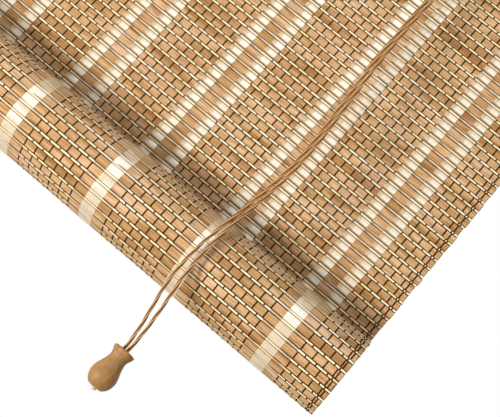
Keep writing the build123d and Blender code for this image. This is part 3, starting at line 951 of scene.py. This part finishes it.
@dataclass
class Mat:
    """The woven mat: what hangs, and what is rolled up."""

    middle_y: float
    roll: RollForm
    lift: float
    wander: float = 0.00005
    trim: float = 0.0004
    slat_edge: float = 0.0005
    stick_edge: float = 0.0003
    bar_cuts: int = 3
    bar_smooth: float = 40
    thread_radius: float = 0.0005
    thread_flat_share: float = 0.3
    thread_smooth: float = 60
    thread_sway: float = 0.00022
    yarn_thickness: float = 0.0003
    yarn_smooth: float = 28
    hanging_crown: float = 0.00035
    rolled_crown: float = 0.00008
    outer_rows: int = 25

    # Corners of a strand's section, in half widths and half thicknesses.
    THREAD_SECTION = ((-1, -1), (1, -1), (0, 1))
    YARN_SECTION = ((-1, -0.5), (-0.5, -1), (-0.22, -1), (1, -0.5), (0, 1))
    # How white the yarn is drawn, along a slat's height and across the bundle's corners: partly how well it
    # hides the bamboo, partly painted highlight that peaks a little below each slat's middle and toward the
    # bundle's right, and painted shade at the slat's edges, where the yarn dips into the grooves.
    HANGING_COVER_AND_PAINTED_LIGHT = (-0.5, 0.16, 1.1, 0.62, -1.6)
    HANGING_WIDTH_COVER_AND_HIGHLIGHT = (0.34, 0.4, 0.8, 0.95, 0.5)
    # On the roll the yarn is drawn darker at the slat edges, as painted shade where it dips into the grooves.
    ROLLED_COVER_AND_SHADE = (0.2, 0.98, 0.98, 0.98, 0.2)
    SHOWN_STICK_COVER = 0.55
    # Behind a stick the yarn is drawn in painted shade.
    HIDDEN_STICK_SHADE = 0
    # Rows of the roll, counted from the tangent, and how white the yarn is there: painted highlight on rows
    # 12 and 13, where the high lamp reflects, dimmer below and dimmest toward the top of the roll.
    PAINTED_HIGHLIGHT_ROWS = (11, 11.8, 13.2, 14, 16)
    PAINTED_HIGHLIGHT = (0.57, 1, 1, 0.5, 0.34)
    STANDS_FOR = {
        "lower_slats": "woven_mat",
        "lower_outer_yarn": "front_yarn_bands",
        "lower_middle_yarn": "rear_yarn_bands",
        "roll_slats": "mat_roll",
        "roll_middle_yarn": "roll_yarn_bands",
    }

    def __post_init__(self) -> None:
        """Sets up the source of small differences and the finishes."""
        self.rng = np.random.default_rng(SEED)
        low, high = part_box("woven_mat")
        self.length = high[0] - low[0]
        self.low_rows = math.ceil(self.lift / WEAVE.pitch)
        self.thread_finish = DARK_THREAD.material()
        self.yarn_finish = WHITE_YARN.material()

    def bars(self) -> list[tuple[Over, Copies, bpy.types.Material]]:
        """The slat and the stick that are copied, each with its finish."""
        sizes = (
            (Over.SLATS, WEAVE.slat_thickness, WEAVE.slat_width, self.slat_edge, SLAT_BAMBOO),
            (Over.STICKS, WEAVE.stick_depth, WEAVE.stick_width, self.stick_edge, STICK_BAMBOO),
        )
        return [(over, Copies(Bench.bar(self.length, depth, width, edge, self.bar_cuts)), bamboo.material())
                for over, depth, width, edge, bamboo in sizes]

    def build(self) -> None:
        """Makes every piece of the mat: the rows that are rolled up first, the others and the roll."""
        bars = self.bars()
        parts = {"lower": range(self.low_rows), "upper": range(self.low_rows, WEAVE.rows), "roll": None}
        for part, rows in parts.items():
            for over, bar, finish in bars:
                piece = bar.lay(self.bar_places(over, rows), self.rng, self.wander, self.trim)
                self.dress(piece, self.bar_smooth, f"{part}_{over.value}", finish, "bamboo", rows)
            self.build_threads(part, rows)
            self.build_yarn(part, rows)
        for piece, node in self.STANDS_FOR.items():
            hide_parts(node)

    def bar_places(self, over: Over, rows: range | None) -> list[Matrix]:
        """Where the slats or the sticks lie.

        Args:
            over: Slats or sticks.
            rows: The hanging rows, counted up from the roll, or None on the roll.

        Returns:
            A matrix for each of them.
        """
        height = WEAVE.height(over)
        if rows is None:
            count = int(self.roll.length() / WEAVE.pitch)
            return [self.roll.place(row * WEAVE.pitch + (WEAVE.pitch - height)) for row in range(count)]
        foot = self.roll.axis_z
        return [Matrix.Translation((0, self.middle_y, foot + row * WEAVE.pitch + height)) for row in rows]

    def warp(self, places: list[float], path: Path, rows: range | None) -> np.ndarray:
        """Lines of warp strands down hanging rows, or round the outermost turns of the roll.

        Args:
            places: Where the strands run across the blind.
            path: One pitch of a strand.
            rows: The hanging rows that they cross, or None on the roll.

        Returns:
            Lines by points by 3.
        """
        if rows is None:
            count, path = self.outer_rows, path[::-1]
            travels = np.array([row * WEAVE.pitch + WEAVE.pitch - height
                                for row in range(count) for height, _ in path])
            depths = np.array([depth for _ in range(count) for _, depth in path])
            y, z = self.roll.point(travels, depths)
        else:
            count = len(rows)
            y = self.middle_y + np.array([depth for _ in rows for _, depth in path])
            z = np.array([self.roll.axis_z + row * WEAVE.pitch + height
                          for row in rows for height, _ in path])
        lines = np.zeros((len(places), len(z), 3))
        sway = self.rng.uniform(-1, 1, (len(places), count)) * self.thread_sway
        lines[:, :, 0] = np.array(places)[:, None] + np.repeat(sway, len(path), axis=1)
        lines[:, :, 1] = y
        lines[:, :, 2] = z
        return lines

    def build_threads(self, part: str, rows: range | None) -> None:
        """Makes the dark threads of one part of the mat.

        Args:
            part: The part's name.
            rows: Its hanging rows, or None on the roll.
        """
        thin = self.thread_radius * self.thread_flat_share
        section = np.array(self.THREAD_SECTION) * (self.thread_radius, thin)
        for name, over in (("slat_threads", Over.SLATS), ("stick_threads", Over.STICKS)):
            lines = self.warp(WEAVE.thread_places(over), WEAVE.crossing_path(over, thin), rows)
            points, faces = Sweep.tubes(lines, section, ALONG_SLATS)
            piece = Sweep.mesh_object(points, faces, {})
            self.dress(piece, self.thread_smooth, f"{part}_{name}", self.thread_finish, "bamboo", rows)

    def build_yarn(self, part: str, rows: range | None) -> None:
        """Makes the yarn bundles of one part of the mat.

        Args:
            part: The part's name.
            rows: Its hanging rows, or None on the roll.
        """
        kinds = (
            ("outer_yarn", Over.SLATS, WEAVE.yarn_width, WEAVE.outer_yarn_places()),
            ("middle_yarn", Over.STICKS, WEAVE.middle_yarn_width, WEAVE.band_centres()),
        )
        thin = self.yarn_thickness / 2
        crown = self.rolled_crown if rows is None else self.hanging_crown
        for name, over, width, places in kinds:
            lines = self.warp(places, WEAVE.bundle_path(over, thin, crown), rows)
            section = np.array(self.YARN_SECTION) * (width / 2, thin)
            points, faces = Sweep.tubes(lines, section, ALONG_SLATS)
            # Each bundle's value mixes how thickly it lies with painted highlight and painted shade.
            cover_and_painted_light = self.rolled_cover_and_light(over) if rows is None else self.hanging_cover_and_light(over, rows)
            piece = Sweep.mesh_object(points, faces, {"cover_and_painted_light": np.tile(cover_and_painted_light.ravel(), len(places))})
            self.dress(piece, self.yarn_smooth, f"{part}_{name}", self.yarn_finish, "yarn", rows)

    def hanging_cover_and_light(self, over: Over, rows: range) -> np.ndarray:
        """How white a hanging bundle is drawn at each corner of its rings: how well it hides the bamboo, with
        painted highlight and painted shade.

        Args:
            over: What the bundle crosses in front.
            rows: The rows that it crosses.

        Returns:
            A value for each ring and corner, fullest at the right of each slat's middle, where the painted
            highlight sits, and lowest at the slat's edges and behind the sticks, as painted shade.
        """
        stick = self.SHOWN_STICK_COVER if over is Over.STICKS else self.HIDDEN_STICK_SHADE
        pitch = np.outer((stick, stick, *self.HANGING_COVER_AND_PAINTED_LIGHT), self.HANGING_WIDTH_COVER_AND_HIGHLIGHT)
        return np.tile(pitch, (len(rows), 1))

    def rolled_cover_and_light(self, over: Over) -> np.ndarray:
        """How white a bundle on the roll is drawn at each corner of its rings: how well it hides the bamboo,
        with painted highlight and painted shade.

        Args:
            over: What the bundle crosses on the side that is inside the roll.

        Returns:
            A value for each ring and corner, fullest on the rows that carry the painted highlight, lower at
            the slat edges and behind the sticks as painted shade.
        """
        stick = self.SHOWN_STICK_COVER if over is Over.SLATS else self.HIDDEN_STICK_SHADE
        # Painted highlight on the rows where the high lamp reflects.
        painted_highlight = np.interp(np.arange(self.outer_rows), self.PAINTED_HIGHLIGHT_ROWS, self.PAINTED_HIGHLIGHT)
        rings = np.outer(painted_highlight, (*self.ROLLED_COVER_AND_SHADE, stick, stick)).ravel()
        return np.outer(rings, np.ones_like(self.HANGING_WIDTH_COVER_AND_HIGHLIGHT))

    def dress(self, piece: bpy.types.Object, angle: float, name: str, finish: bpy.types.Material, slot: str,
              rows: range | None) -> None:
        """Finishes a piece and fixes it to the roll or the head.

        Args:
            piece: The mesh object.
            angle: Degrees past which an edge stays sharp.
            name: Its name.
            finish: Its material.
            slot: Not used.
            rows: Its hanging rows, or None on the roll.
        """
        Bench.smooth(piece, angle)
        Bench.finish(piece, name, finish, slot)
        if rows is None:
            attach(piece, "roll")
            return
        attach(piece, "head")
        if rows.start == 0:
            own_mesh(piece)


@dataclass
class Rope:
    """A limp cord of three plies with a long twist."""

    diameter: float = 0.0024
    lay: float = 0.042
    plies: int = 3
    ply_share: float = 0.5
    corners: int = 6
    smooth: float = 75

    def mesh(self, line: np.ndarray, across: Point, start: float = 0) -> bpy.types.Object:
        """Twists the plies along a line.

        Args:
            line: Points along the cord.
            across: A way that the cord never runs along.
            start: Length of cord before the line, which sets the twist.

        Returns:
            The cord's mesh object.
        """
        steps = np.linalg.norm(np.diff(line, axis=0), axis=1)
        travel = start + np.concatenate([[0], np.cumsum(steps)])
        side, out = Sweep.frames(line[None], across)
        ply_radius = self.diameter / 2 * self.ply_share
        reach = self.diameter / 2 - ply_radius
        plies = []
        for ply in range(self.plies):
            angle = FULL_TURN * (travel / self.lay + ply / self.plies)[:, None]
            plies.append(line + reach * (np.cos(angle) * side[0] + np.sin(angle) * out[0]))
        points, faces = Sweep.tubes(np.array(plies), Sweep.ring(ply_radius, self.corners), across)
        rings = points.reshape(self.plies, len(line), self.corners, 3)
        # Distance from the cord's middle, which the finish turns into painted shade between the plies and
        # painted highlight on their outer lines.
        from_middle = np.linalg.norm(rings - line[None, :, None], axis=3)
        piece = Sweep.mesh_object(points, faces, {"painted_crest_light": from_middle.ravel() / (self.diameter / 2)})
        Bench.smooth(piece, self.smooth)
        return piece


@dataclass
class PullCord:
    """The two free strands of the pull cord, from the lock, over the roll's front and to the acorn."""

    rope: Rope
    finish: bpy.types.Material
    lift: float
    anchor_z: float = -0.063
    upper_steps: int = 44
    lower_steps: int = 20

    SPLINE_ORDER = 3
    # Each strand: down to the roll, against the roll's front, and below it.
    ROUTES = {
        "front": (
            [
                (0.4794, -0.0271, -0.0633), (0.4793, -0.0276, -0.0930), (0.4790, -0.0310, -0.1460),
                (0.4798, -0.0374, -0.2030), (0.4812, -0.0443, -0.2600), (0.4805, -0.0502, -0.3150),
                (0.4826, -0.0556, -0.3600), (0.4860, -0.0605, -0.3990), (0.4894, -0.0650, -0.4360),
                (0.4880, -0.0696, -0.4710), (0.4838, -0.0736, -0.4980),
            ],
            [(0.4838, -0.0736, -0.4980), (0.4808, -0.0770, -0.5180), (0.4792, -0.0779, -0.5324)],
            [
                (0.4792, -0.0779, -0.5328), (0.4783, -0.0781, -0.5490), (0.4794, -0.0778, -0.5630),
                (0.4818, -0.0780, -0.5760), (0.4842, -0.0779, -0.5880), (0.4859, -0.0777, -0.5990),
                (0.4868, -0.0779, -0.6115), (0.4867, -0.0778, -0.6215),
            ],
        ),
        "rear": (
            [
                (0.4794, -0.0181, -0.0633), (0.4796, -0.0200, -0.0930), (0.4810, -0.0276, -0.1460),
                (0.4826, -0.0364, -0.2030), (0.4840, -0.0439, -0.2600), (0.4832, -0.0500, -0.3150),
                (0.4854, -0.0555, -0.3600), (0.4888, -0.0604, -0.3990), (0.4922, -0.0651, -0.4360),
                (0.4909, -0.0695, -0.4710), (0.4870, -0.0735, -0.4980),
            ],
            [(0.4870, -0.0735, -0.4980), (0.4845, -0.0769, -0.5180), (0.4840, -0.0778, -0.5324)],
            [
                (0.4840, -0.0778, -0.5328), (0.4841, -0.0776, -0.5490), (0.4858, -0.0779, -0.5630),
                (0.4875, -0.0777, -0.5760), (0.4887, -0.0779, -0.5880), (0.4894, -0.0778, -0.5990),
                (0.4893, -0.0779, -0.6115), (0.4893, -0.0778, -0.6215),
            ],
        ),
    }

    @staticmethod
    def spline_points(route: list[Point], resolution: int) -> np.ndarray:
        """Points read from a smooth spline with the route as its control points.

        Args:
            route: The cord's own points.
            resolution: Steps for each of them.

        Returns:
            Rows of x, y and z along the spline.
        """
        curve = bpy.data.curves.new("route", "CURVE")
        curve.dimensions = "3D"
        curve.resolution_u = resolution
        spline = curve.splines.new("NURBS")
        spline.points.add(len(route) - 1)
        for point, place in zip(spline.points, route):
            point.co = (*place, 1)
        spline.order_u = PullCord.SPLINE_ORDER
        spline.use_endpoint_u = True
        holder = bpy.data.objects.new("route", curve)
        line = bpy.data.meshes.new_from_object(holder)
        points = np.array([vertex.co for vertex in line.vertices], float)
        bpy.data.objects.remove(holder)
        bpy.data.curves.remove(curve)
        bpy.data.meshes.remove(line)
        return points

    def build(self, acorn: bpy.types.Object, knot: bpy.types.Object) -> None:
        """Makes both strands, above the roll, against its front and below it.

        Args:
            acorn: The wooden pull that hangs on the strands.
            knot: The knot that holds it.
        """
        ends = {"front": ("fitting", acorn), "rear": ("knot", knot)}
        for strand, (upper_route, lead_route, lower_route) in self.ROUTES.items():
            upper, upper_length = self.strand(upper_route, self.upper_steps, f"pull_{strand}_upper", 0)
            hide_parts(f"pull_cord_{strand}_upper")
            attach(upper, "head")
            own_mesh(upper)
            lead, lead_length = self.strand(lead_route, self.upper_steps, f"pull_{strand}_lead", upper_length)
            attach(lead, "slings")
            far_end, fitting = ends[strand]
            lower, _ = self.strand(lower_route, self.lower_steps, f"pull_{strand}_lower",
                                   upper_length + lead_length, far_end, [fitting])
            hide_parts(f"pull_cord_{strand}_lower")
            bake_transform(lower)

    def strand(self, route: list[Point], resolution: int, name: str, start: float, far_end: str = "object",
               fittings: list[bpy.types.Object] | None = None) -> tuple[bpy.types.Object, float]:
        """Args:
            route: The stretch's own points.
            resolution: Steps for each of them.
            name: The piece's name.
            start: Length of the strand above it.
            far_end: Not used.
            fittings: Not used.

        Returns:
            The stretch and its length.
        """
        line = self.spline_points(route, resolution)
        piece = Bench.finish(self.rope.mesh(line, ALONG_SLATS, start), name, self.finish, "cord")
        length = float(np.linalg.norm(np.diff(line, axis=0), axis=1).sum())
        return piece, length


@dataclass
class LiftCords:
    """The two taut cords that carry the roll, from knots on the rear batten to the cord lock."""

    rope: Rope
    finish: bpy.types.Material
    roll: RollForm
    lift: float
    solid_radius: float = 0.0011
    wheel_radius: float = 0.007
    lead_height: float = 0.02
    run_steps: int = 58
    head_steps: int = 24
    sling_corners: int = 8
    sling_steps: int = 8
    knot_cord: float = 0.0017
    knot_rounds: int = 2
    knot_lobes: int = 3
    knot_points: int = 48
    knot_share: float = 0.97

    def build(self) -> None:
        """Makes both cords: a rear run, a sling, a front run, a run below the rail and a knot."""
        for side in Side:
            rear_top, rear_foot = self.run_ends(f"{side.value}_lift_cord_rear")
            front_top, front_foot = self.run_ends(f"{side.value}_lift_cord_front")
            lead_top = self.along(front_foot, front_top, self.lead_height)
            for place, top, foot in (("rear", rear_top, rear_foot), ("front", front_top, lead_top)):
                run = self.straight(top, foot, f"{side.value}_{place}_run")
                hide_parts(f"{side.value}_lift_cord_{place}")
                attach(run, "head")
                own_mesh(run)
            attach(self.straight(lead_top, front_foot, f"{side.value}_front_lead"), "slings")
            route = self.sling_route(front_foot, rear_foot)
            sling = self.dress(route, self.sling_steps, f"{side.value}_sling")
            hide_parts(f"{side.value}_lift_sling")
            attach(sling, "slings")
            route = self.head_route(f"{side.value}_head_cord")
            head_run = self.dress(route, self.head_steps, f"{side.value}_head_run")
            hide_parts(f"{side.value}_head_cord")
            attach(head_run, "head")
            knot = Rope(self.knot_cord).mesh(self.knot_line(rear_top), UP)
            Bench.finish(knot, f"{side.value}_tied_knot", self.finish, "cord")
            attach(knot, "head")
        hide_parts("lift_cord_knots")

    @staticmethod
    def along(first: Point, last: Point, rise: float) -> Point:
        """The point of a straight run at a height above its first end."""
        return tuple(Vector(first).lerp(Vector(last), rise / (last[2] - first[2])))

    def straight(self, top: Point, foot: Point, name: str) -> bpy.types.Object:
        """A taut run between two points."""
        middle = tuple((Vector(top) + Vector(foot)) / 2)
        return self.dress([top, middle, foot], self.run_steps, name)

    def dress(self, route: list[Point], resolution: int, name: str) -> bpy.types.Object:
        """Twists a cord along a route and gives it its finish.

        Args:
            route: Control points of the cord's spline.
            resolution: Steps for each of them.
            name: The piece's name.

        Returns:
            The cord's mesh object.
        """
        line = PullCord.spline_points(route, resolution)
        across = TO_WALL if np.ptp(line[:, 0]) > np.ptp(line[:, 2]) else ALONG_SLATS
        return Bench.finish(self.rope.mesh(line, across), name, self.finish, "cord")

    def run_ends(self, node: str) -> tuple[Point, Point]:
        """The ends of a run that leans out from its top, in the middle of its solid.

        Args:
            node: The run's solid.

        Returns:
            Its top and its foot.
        """
        low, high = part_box(node)
        x = (low[0] + high[0]) / 2
        return (x, high[1] - self.solid_radius, high[2]), (x, low[1] + self.solid_radius, low[2])

    def sling_route(self, front: Point, rear: Point) -> list[Point]:
        """The cord's turn below the roll, from its front run to its rear run.

        Args:
            front: Foot of the front run.
            rear: Foot of the rear run.

        Returns:
            Control points, which stand off the turn where its steps meet.
        """
        first = math.atan2(front[2] - self.roll.axis_z, front[1] - self.roll.axis_y)
        last = math.atan2(rear[2] - self.roll.axis_z, rear[1] - self.roll.axis_y) + FULL_TURN
        step = (last - first) / self.sling_corners
        radius = math.hypot(rear[1] - self.roll.axis_y, rear[2] - self.roll.axis_z) / math.cos(step / 2)
        route = [front]
        for number in range(self.sling_corners):
            angle = first + (number + 1 / 2) * step
            route.append((front[0], self.roll.axis_y + radius * math.cos(angle),
                          self.roll.axis_z + radius * math.sin(angle)))
        return route + [rear]

    def head_route(self, node: str) -> list[Point]:
        """The run below the rail, over a pulley wheel at one end and the lock's roller at the other.

        Args:
            node: The run's solid.

        Returns:
            Control points, with two beside each corner so that the spline keeps to the wheel.
        """
        low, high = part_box(node)
        y = (low[1] + high[1]) / 2
        top = high[2] - self.solid_radius
        # Two corners of 45 degrees follow the wheel's quarter turn.
        ease = self.wheel_radius * math.tan(math.radians(45) / 2)
        ends = (low[0] + self.solid_radius, 1), (high[0] - self.solid_radius, -1)
        corners = []
        for x, inward in ends:
            corners.append([
                (x, y, low[2]),
                (x, y, top - self.wheel_radius + ease),
                (x + inward * (self.wheel_radius - ease), y, top),
                (x + inward * (self.wheel_radius + ease), y, top),
            ])
        return corners[0] + corners[1][::-1]

    def knot_line(self, top: Point) -> np.ndarray:
        """An overhand knot on the batten's top, where a rear run starts.

        Args:
            top: Top of the rear run.

        Returns:
            Points along the knotted cord.
        """
        low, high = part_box("lift_cord_knots")
        rounds, lobes = self.knot_rounds, self.knot_lobes
        turn = np.linspace(0, FULL_TURN * self.knot_share, self.knot_points)
        reach = ((high[1] - low[1]) - self.knot_cord) / 2 * (rounds + np.cos(lobes * turn)) / lobes
        rise = ((high[2] - low[2]) - self.knot_cord) / 2 * np.sin(lobes * turn)
        return np.stack([top[0] + reach * np.cos(rounds * turn), top[1] + reach * np.sin(rounds * turn),
                         (low[2] + high[2]) / 2 + rise], axis=1)


@dataclass
class Acorn:
    """The turned wooden pull on the cord's end, and the knot in its foot."""

    acorn_steps: int = 28
    knot_steps: int = 20
    levels: int = 2

    RADII = {"bore": 0.003, "rim": 0.0077, "neck": 0.00585, "bulb": 0.00925, "foot": 0.0042, "pocket": 0.0035}
    # From the bore over the rim to the pocket: a radius, a share of it and a share of the length.
    ACORN_PROFILE = (
        ("bore", 1, 0.75), ("bore", 1, 0.985), ("bore", 1.15, 1), ("rim", 0.86, 1), ("rim", 1, 0.975),
        ("rim", 1, 0.935), ("rim", 0.93, 0.89), ("neck", 1.05, 0.82), ("neck", 1, 0.76), ("neck", 1.05, 0.68),
        ("bulb", 0.78, 0.55), ("bulb", 0.96, 0.42), ("bulb", 1.01, 0.30), ("bulb", 0.95, 0.17),
        ("bulb", 0.77, 0.07), ("foot", 1.2, 0.012), ("foot", 1, 0), ("pocket", 1, 0), ("pocket", 1, 0.2),
    )
    # From the knot's foot to its top: shares of its radius and height.
    KNOT_PROFILE = (
        (0, 0), (0.45, 0.02), (0.78, 0.13), (0.72, 0.24), (0.98, 0.36), (0.98, 0.60), (0.70, 0.85), (0, 0.95),
    )

    def build(self) -> list[bpy.types.Object]:
        """Turns the acorn and its knot.

        Returns:
            Both pieces.
        """
        low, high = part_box("acorn")
        length = high[2] - low[2]
        profile = [(self.RADII[part] * share, rise * length) for part, share, rise in self.ACORN_PROFILE]
        acorn = self.turn(profile, self.acorn_steps, "acorn", "turned_acorn", ACORN_WOOD, "acorn_wood")
        low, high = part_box("acorn_knot")
        radius, height = (high[0] - low[0]) / 2, high[2] - low[2]
        profile = [(share * radius, rise * height) for share, rise in self.KNOT_PROFILE]
        knot = self.turn(profile, self.knot_steps, "acorn_knot", "tucked_knot", KNOT_CORD, "knot_cord")
        return [acorn, knot]

    def turn(self, profile: Path, steps: int, node: str, name: str, finish: Timber | Fibre,
             slot: str) -> bpy.types.Object:
        """Turns a piece where its solid is, and lets it hang on the pull cord.

        Args:
            profile: Radius and height of each point.
            steps: Number of steps round the axis.
            node: The solid that it stands for.
            name: The piece's name.
            finish: Its finish.
            slot: Not used.

        Returns:
            The turned piece.
        """
        low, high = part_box(node)
        foot = ((low[0] + high[0]) / 2, (low[1] + high[1]) / 2, low[2])
        piece = Bench.lathe(profile, steps, foot, self.levels)
        Bench.smooth(piece)
        Bench.finish(piece, name, finish.material(), slot)
        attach(piece, "pull")
        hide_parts(node)
        return piece


@dataclass
class Head:
    """The rails, hangers, pulleys and lock, which keep their solids and get their finishes."""

    def build(self) -> None:
        """Gives each solid its material."""
        finishes = {
            RAIL_WOOD: ("head_rail", "rear_batten"),
            ROD_WOOD: ("bottom_rod",),
            STEEL: ("batten_screws", "hanger_screws", "pulley_screws", "lock_screws", "left_hanger",
                    "right_hanger", "left_pulley_pin", "right_pulley_pin", "lock_roller_pin",
                    "lock_pawl_pin"),
            LOCK_METAL: ("lock_case", "lock_pawl", "left_pulley_fork", "right_pulley_fork"),
            WHEEL_PLASTIC: ("left_pulley_wheel", "right_pulley_wheel", "lock_roller"),
        }
        for finish, nodes in finishes.items():
            material = finish.material()
            for node in nodes:
                solid = frame["nodes"][node]
                solid.data.materials.clear()
                solid.data.materials.append(material)
                LOG.info("%s: %s", node, finish.name)


@dataclass(frozen=True)
class Lamp:
    """A soft lamp: its way from the blind, distance, width, height and power."""

    name: str
    way: Point
    distance: float
    width: float
    height: float
    power: float

    def build(self, aim: Point) -> None:
        """Hangs the lamp so that it faces a point.

        Args:
            aim: The point.
        """
        light = bpy.data.lights.new(self.name, "AREA")
        light.shape = "RECTANGLE"
        light.size = self.width
        light.size_y = self.height
        light.energy = self.power
        lamp = bpy.data.objects.new(self.name, light)
        bpy.context.collection.objects.link(lamp)
        way = Vector(self.way).normalized()
        lamp.location = Vector(aim) + way * self.distance
        lamp.rotation_euler = way.to_track_quat("Z", "Y").to_euler()
        lamp.visible_camera = False


@dataclass
class Studio:
    """A pale floor, soft light and the camera where the picture was taken."""

    camera_place: Point = (0.5921, -0.8044, -0.6392)
    right: Point = (0.76221, -0.02128, 0.64698)
    down: Point = (0.63219, 0.23939, -0.73691)
    focal_length: float = 0.08545
    sensor_width: float = 0.036
    near_clip: float = 0.01
    floor_z: float = -2.5
    floor_size: float = 9
    floor_colour: Colour = (0.86, 0.86, 0.85)
    floor_roughness: float = 0.9
    floor_glow: float = 0.5
    aim: Point = (0.3, 0, -0.4)
    sky: float = 0.23
    lamps: tuple[Lamp, ...] = (
        Lamp("low_key", (-0.4, -0.76, -0.51), 2.2, 0.55, 0.37, 45),
        Lamp("high_fill", (-0.14, -0.79, 0.6), 3.4, 0.5, 1.6, 38.5),
        Lamp("back_fill", (0.3, 0.8, 0.5), 3.4, 1.0, 1.0, 30),
    )

    def build(self) -> None:
        """Sets up the stage, the lights and the camera."""
        self.floor()
        self.lights()
        self.camera()
        bpy.context.scene.view_settings.view_transform = "Standard"

    def floor(self) -> None:
        """A plain pale floor well below the blind, whose glow is seen but sheds no light."""
        Bench.clear()
        bpy.ops.mesh.primitive_plane_add(size=self.floor_size, location=(0, 0, self.floor_z))
        floor = bpy.context.active_object
        floor.name = "floor"
        recipe = Recipe("pale_floor")
        recipe.shader.inputs["Base Color"].default_value = (*self.floor_colour, 1)
        recipe.shader.inputs["Emission Color"].default_value = (1, 1, 1, 1)
        recipe.set(Roughness=self.floor_roughness)
        seen = self.seen_rays(recipe.tree)
        recipe.link(recipe.level(seen, 0, self.floor_glow), recipe.shader.inputs["Emission Strength"])
        floor.data.materials.append(recipe.material)

    @staticmethod
    def seen_rays(tree: bpy.types.NodeTree) -> bpy.types.NodeSocket:
        """A value of 1 for rays that show the surround: to the camera, by a gloss or through glass.

        Args:
            tree: The node tree that gets the nodes.

        Returns:
            The value.
        """
        path = tree.nodes.new("ShaderNodeLightPath")
        seen = path.outputs["Is Camera Ray"]
        for ray in ("Is Glossy Ray", "Is Transmission Ray"):
            either = tree.nodes.new("ShaderNodeMath")
            either.operation = "MAXIMUM"
            tree.links.new(seen, either.inputs[0])
            tree.links.new(path.outputs[ray], either.inputs[1])
            seen = either.outputs[0]
        return seen

    def lights(self) -> None:
        """A low lamp in front, a higher one, one behind the blind and an even white surround."""
        for lamp in self.lamps:
            lamp.build(self.aim)
        world = bpy.data.worlds.new("surround")
        bpy.context.scene.world = world
        world.use_nodes = True
        tree = world.node_tree
        background = tree.nodes["Background"]
        background.inputs["Color"].default_value = (1, 1, 1, 1)
        seen = self.seen_rays(tree)
        level = tree.nodes.new("ShaderNodeMapRange")
        level.inputs["To Min"].default_value = self.sky
        level.inputs["To Max"].default_value = 1
        tree.links.new(seen, level.inputs["Value"])
        tree.links.new(level.outputs["Result"], background.inputs["Strength"])

    def camera(self) -> None:
        """The camera below and in front of the blind, rolled as the picture was."""
        lens = bpy.data.cameras.new("camera")
        lens.sensor_fit = "HORIZONTAL"
        lens.sensor_width = self.sensor_width * MM_PER_METRE
        lens.lens = self.focal_length * MM_PER_METRE
        lens.clip_start = self.near_clip
        camera = bpy.data.objects.new("camera", lens)
        bpy.context.collection.objects.link(camera)
        right, up = Vector(self.right), -Vector(self.down)
        back = right.cross(up)
        turn = Matrix((right, up, back)).transposed()
        camera.matrix_world = Matrix.Translation(self.camera_place) @ turn.to_4x4()
        bpy.context.scene.camera = camera


def main() -> None:
    """Builds the blind and its stage."""
    logging.basicConfig(level=logging.INFO, format="%(message)s")
    joints = {joint["name"]: joint for joint in frame["joints"]}
    lift = joints["roll_lift"]["range_m"][1]
    mat_low, mat_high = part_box("woven_mat")
    rod_low, rod_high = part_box("bottom_rod")
    middle_y = (mat_low[1] + mat_high[1]) / 2
    axis_y = (rod_low[1] + rod_high[1]) / 2
    axis_z = (rod_low[2] + rod_high[2]) / 2
    Studio().build()
    mat = Mat(middle_y, RollForm(axis_y, axis_z, middle_y - axis_y), lift)
    mat.build()
    acorn, knot = Acorn().build()
    cord_finish = BROWN_CORD.material()
    PullCord(Rope(), cord_finish, lift).build(acorn, knot)
    LiftCords(Rope(), cord_finish, mat.roll, lift).build()
    Head().build()


if __name__ == "__main__":
    main()
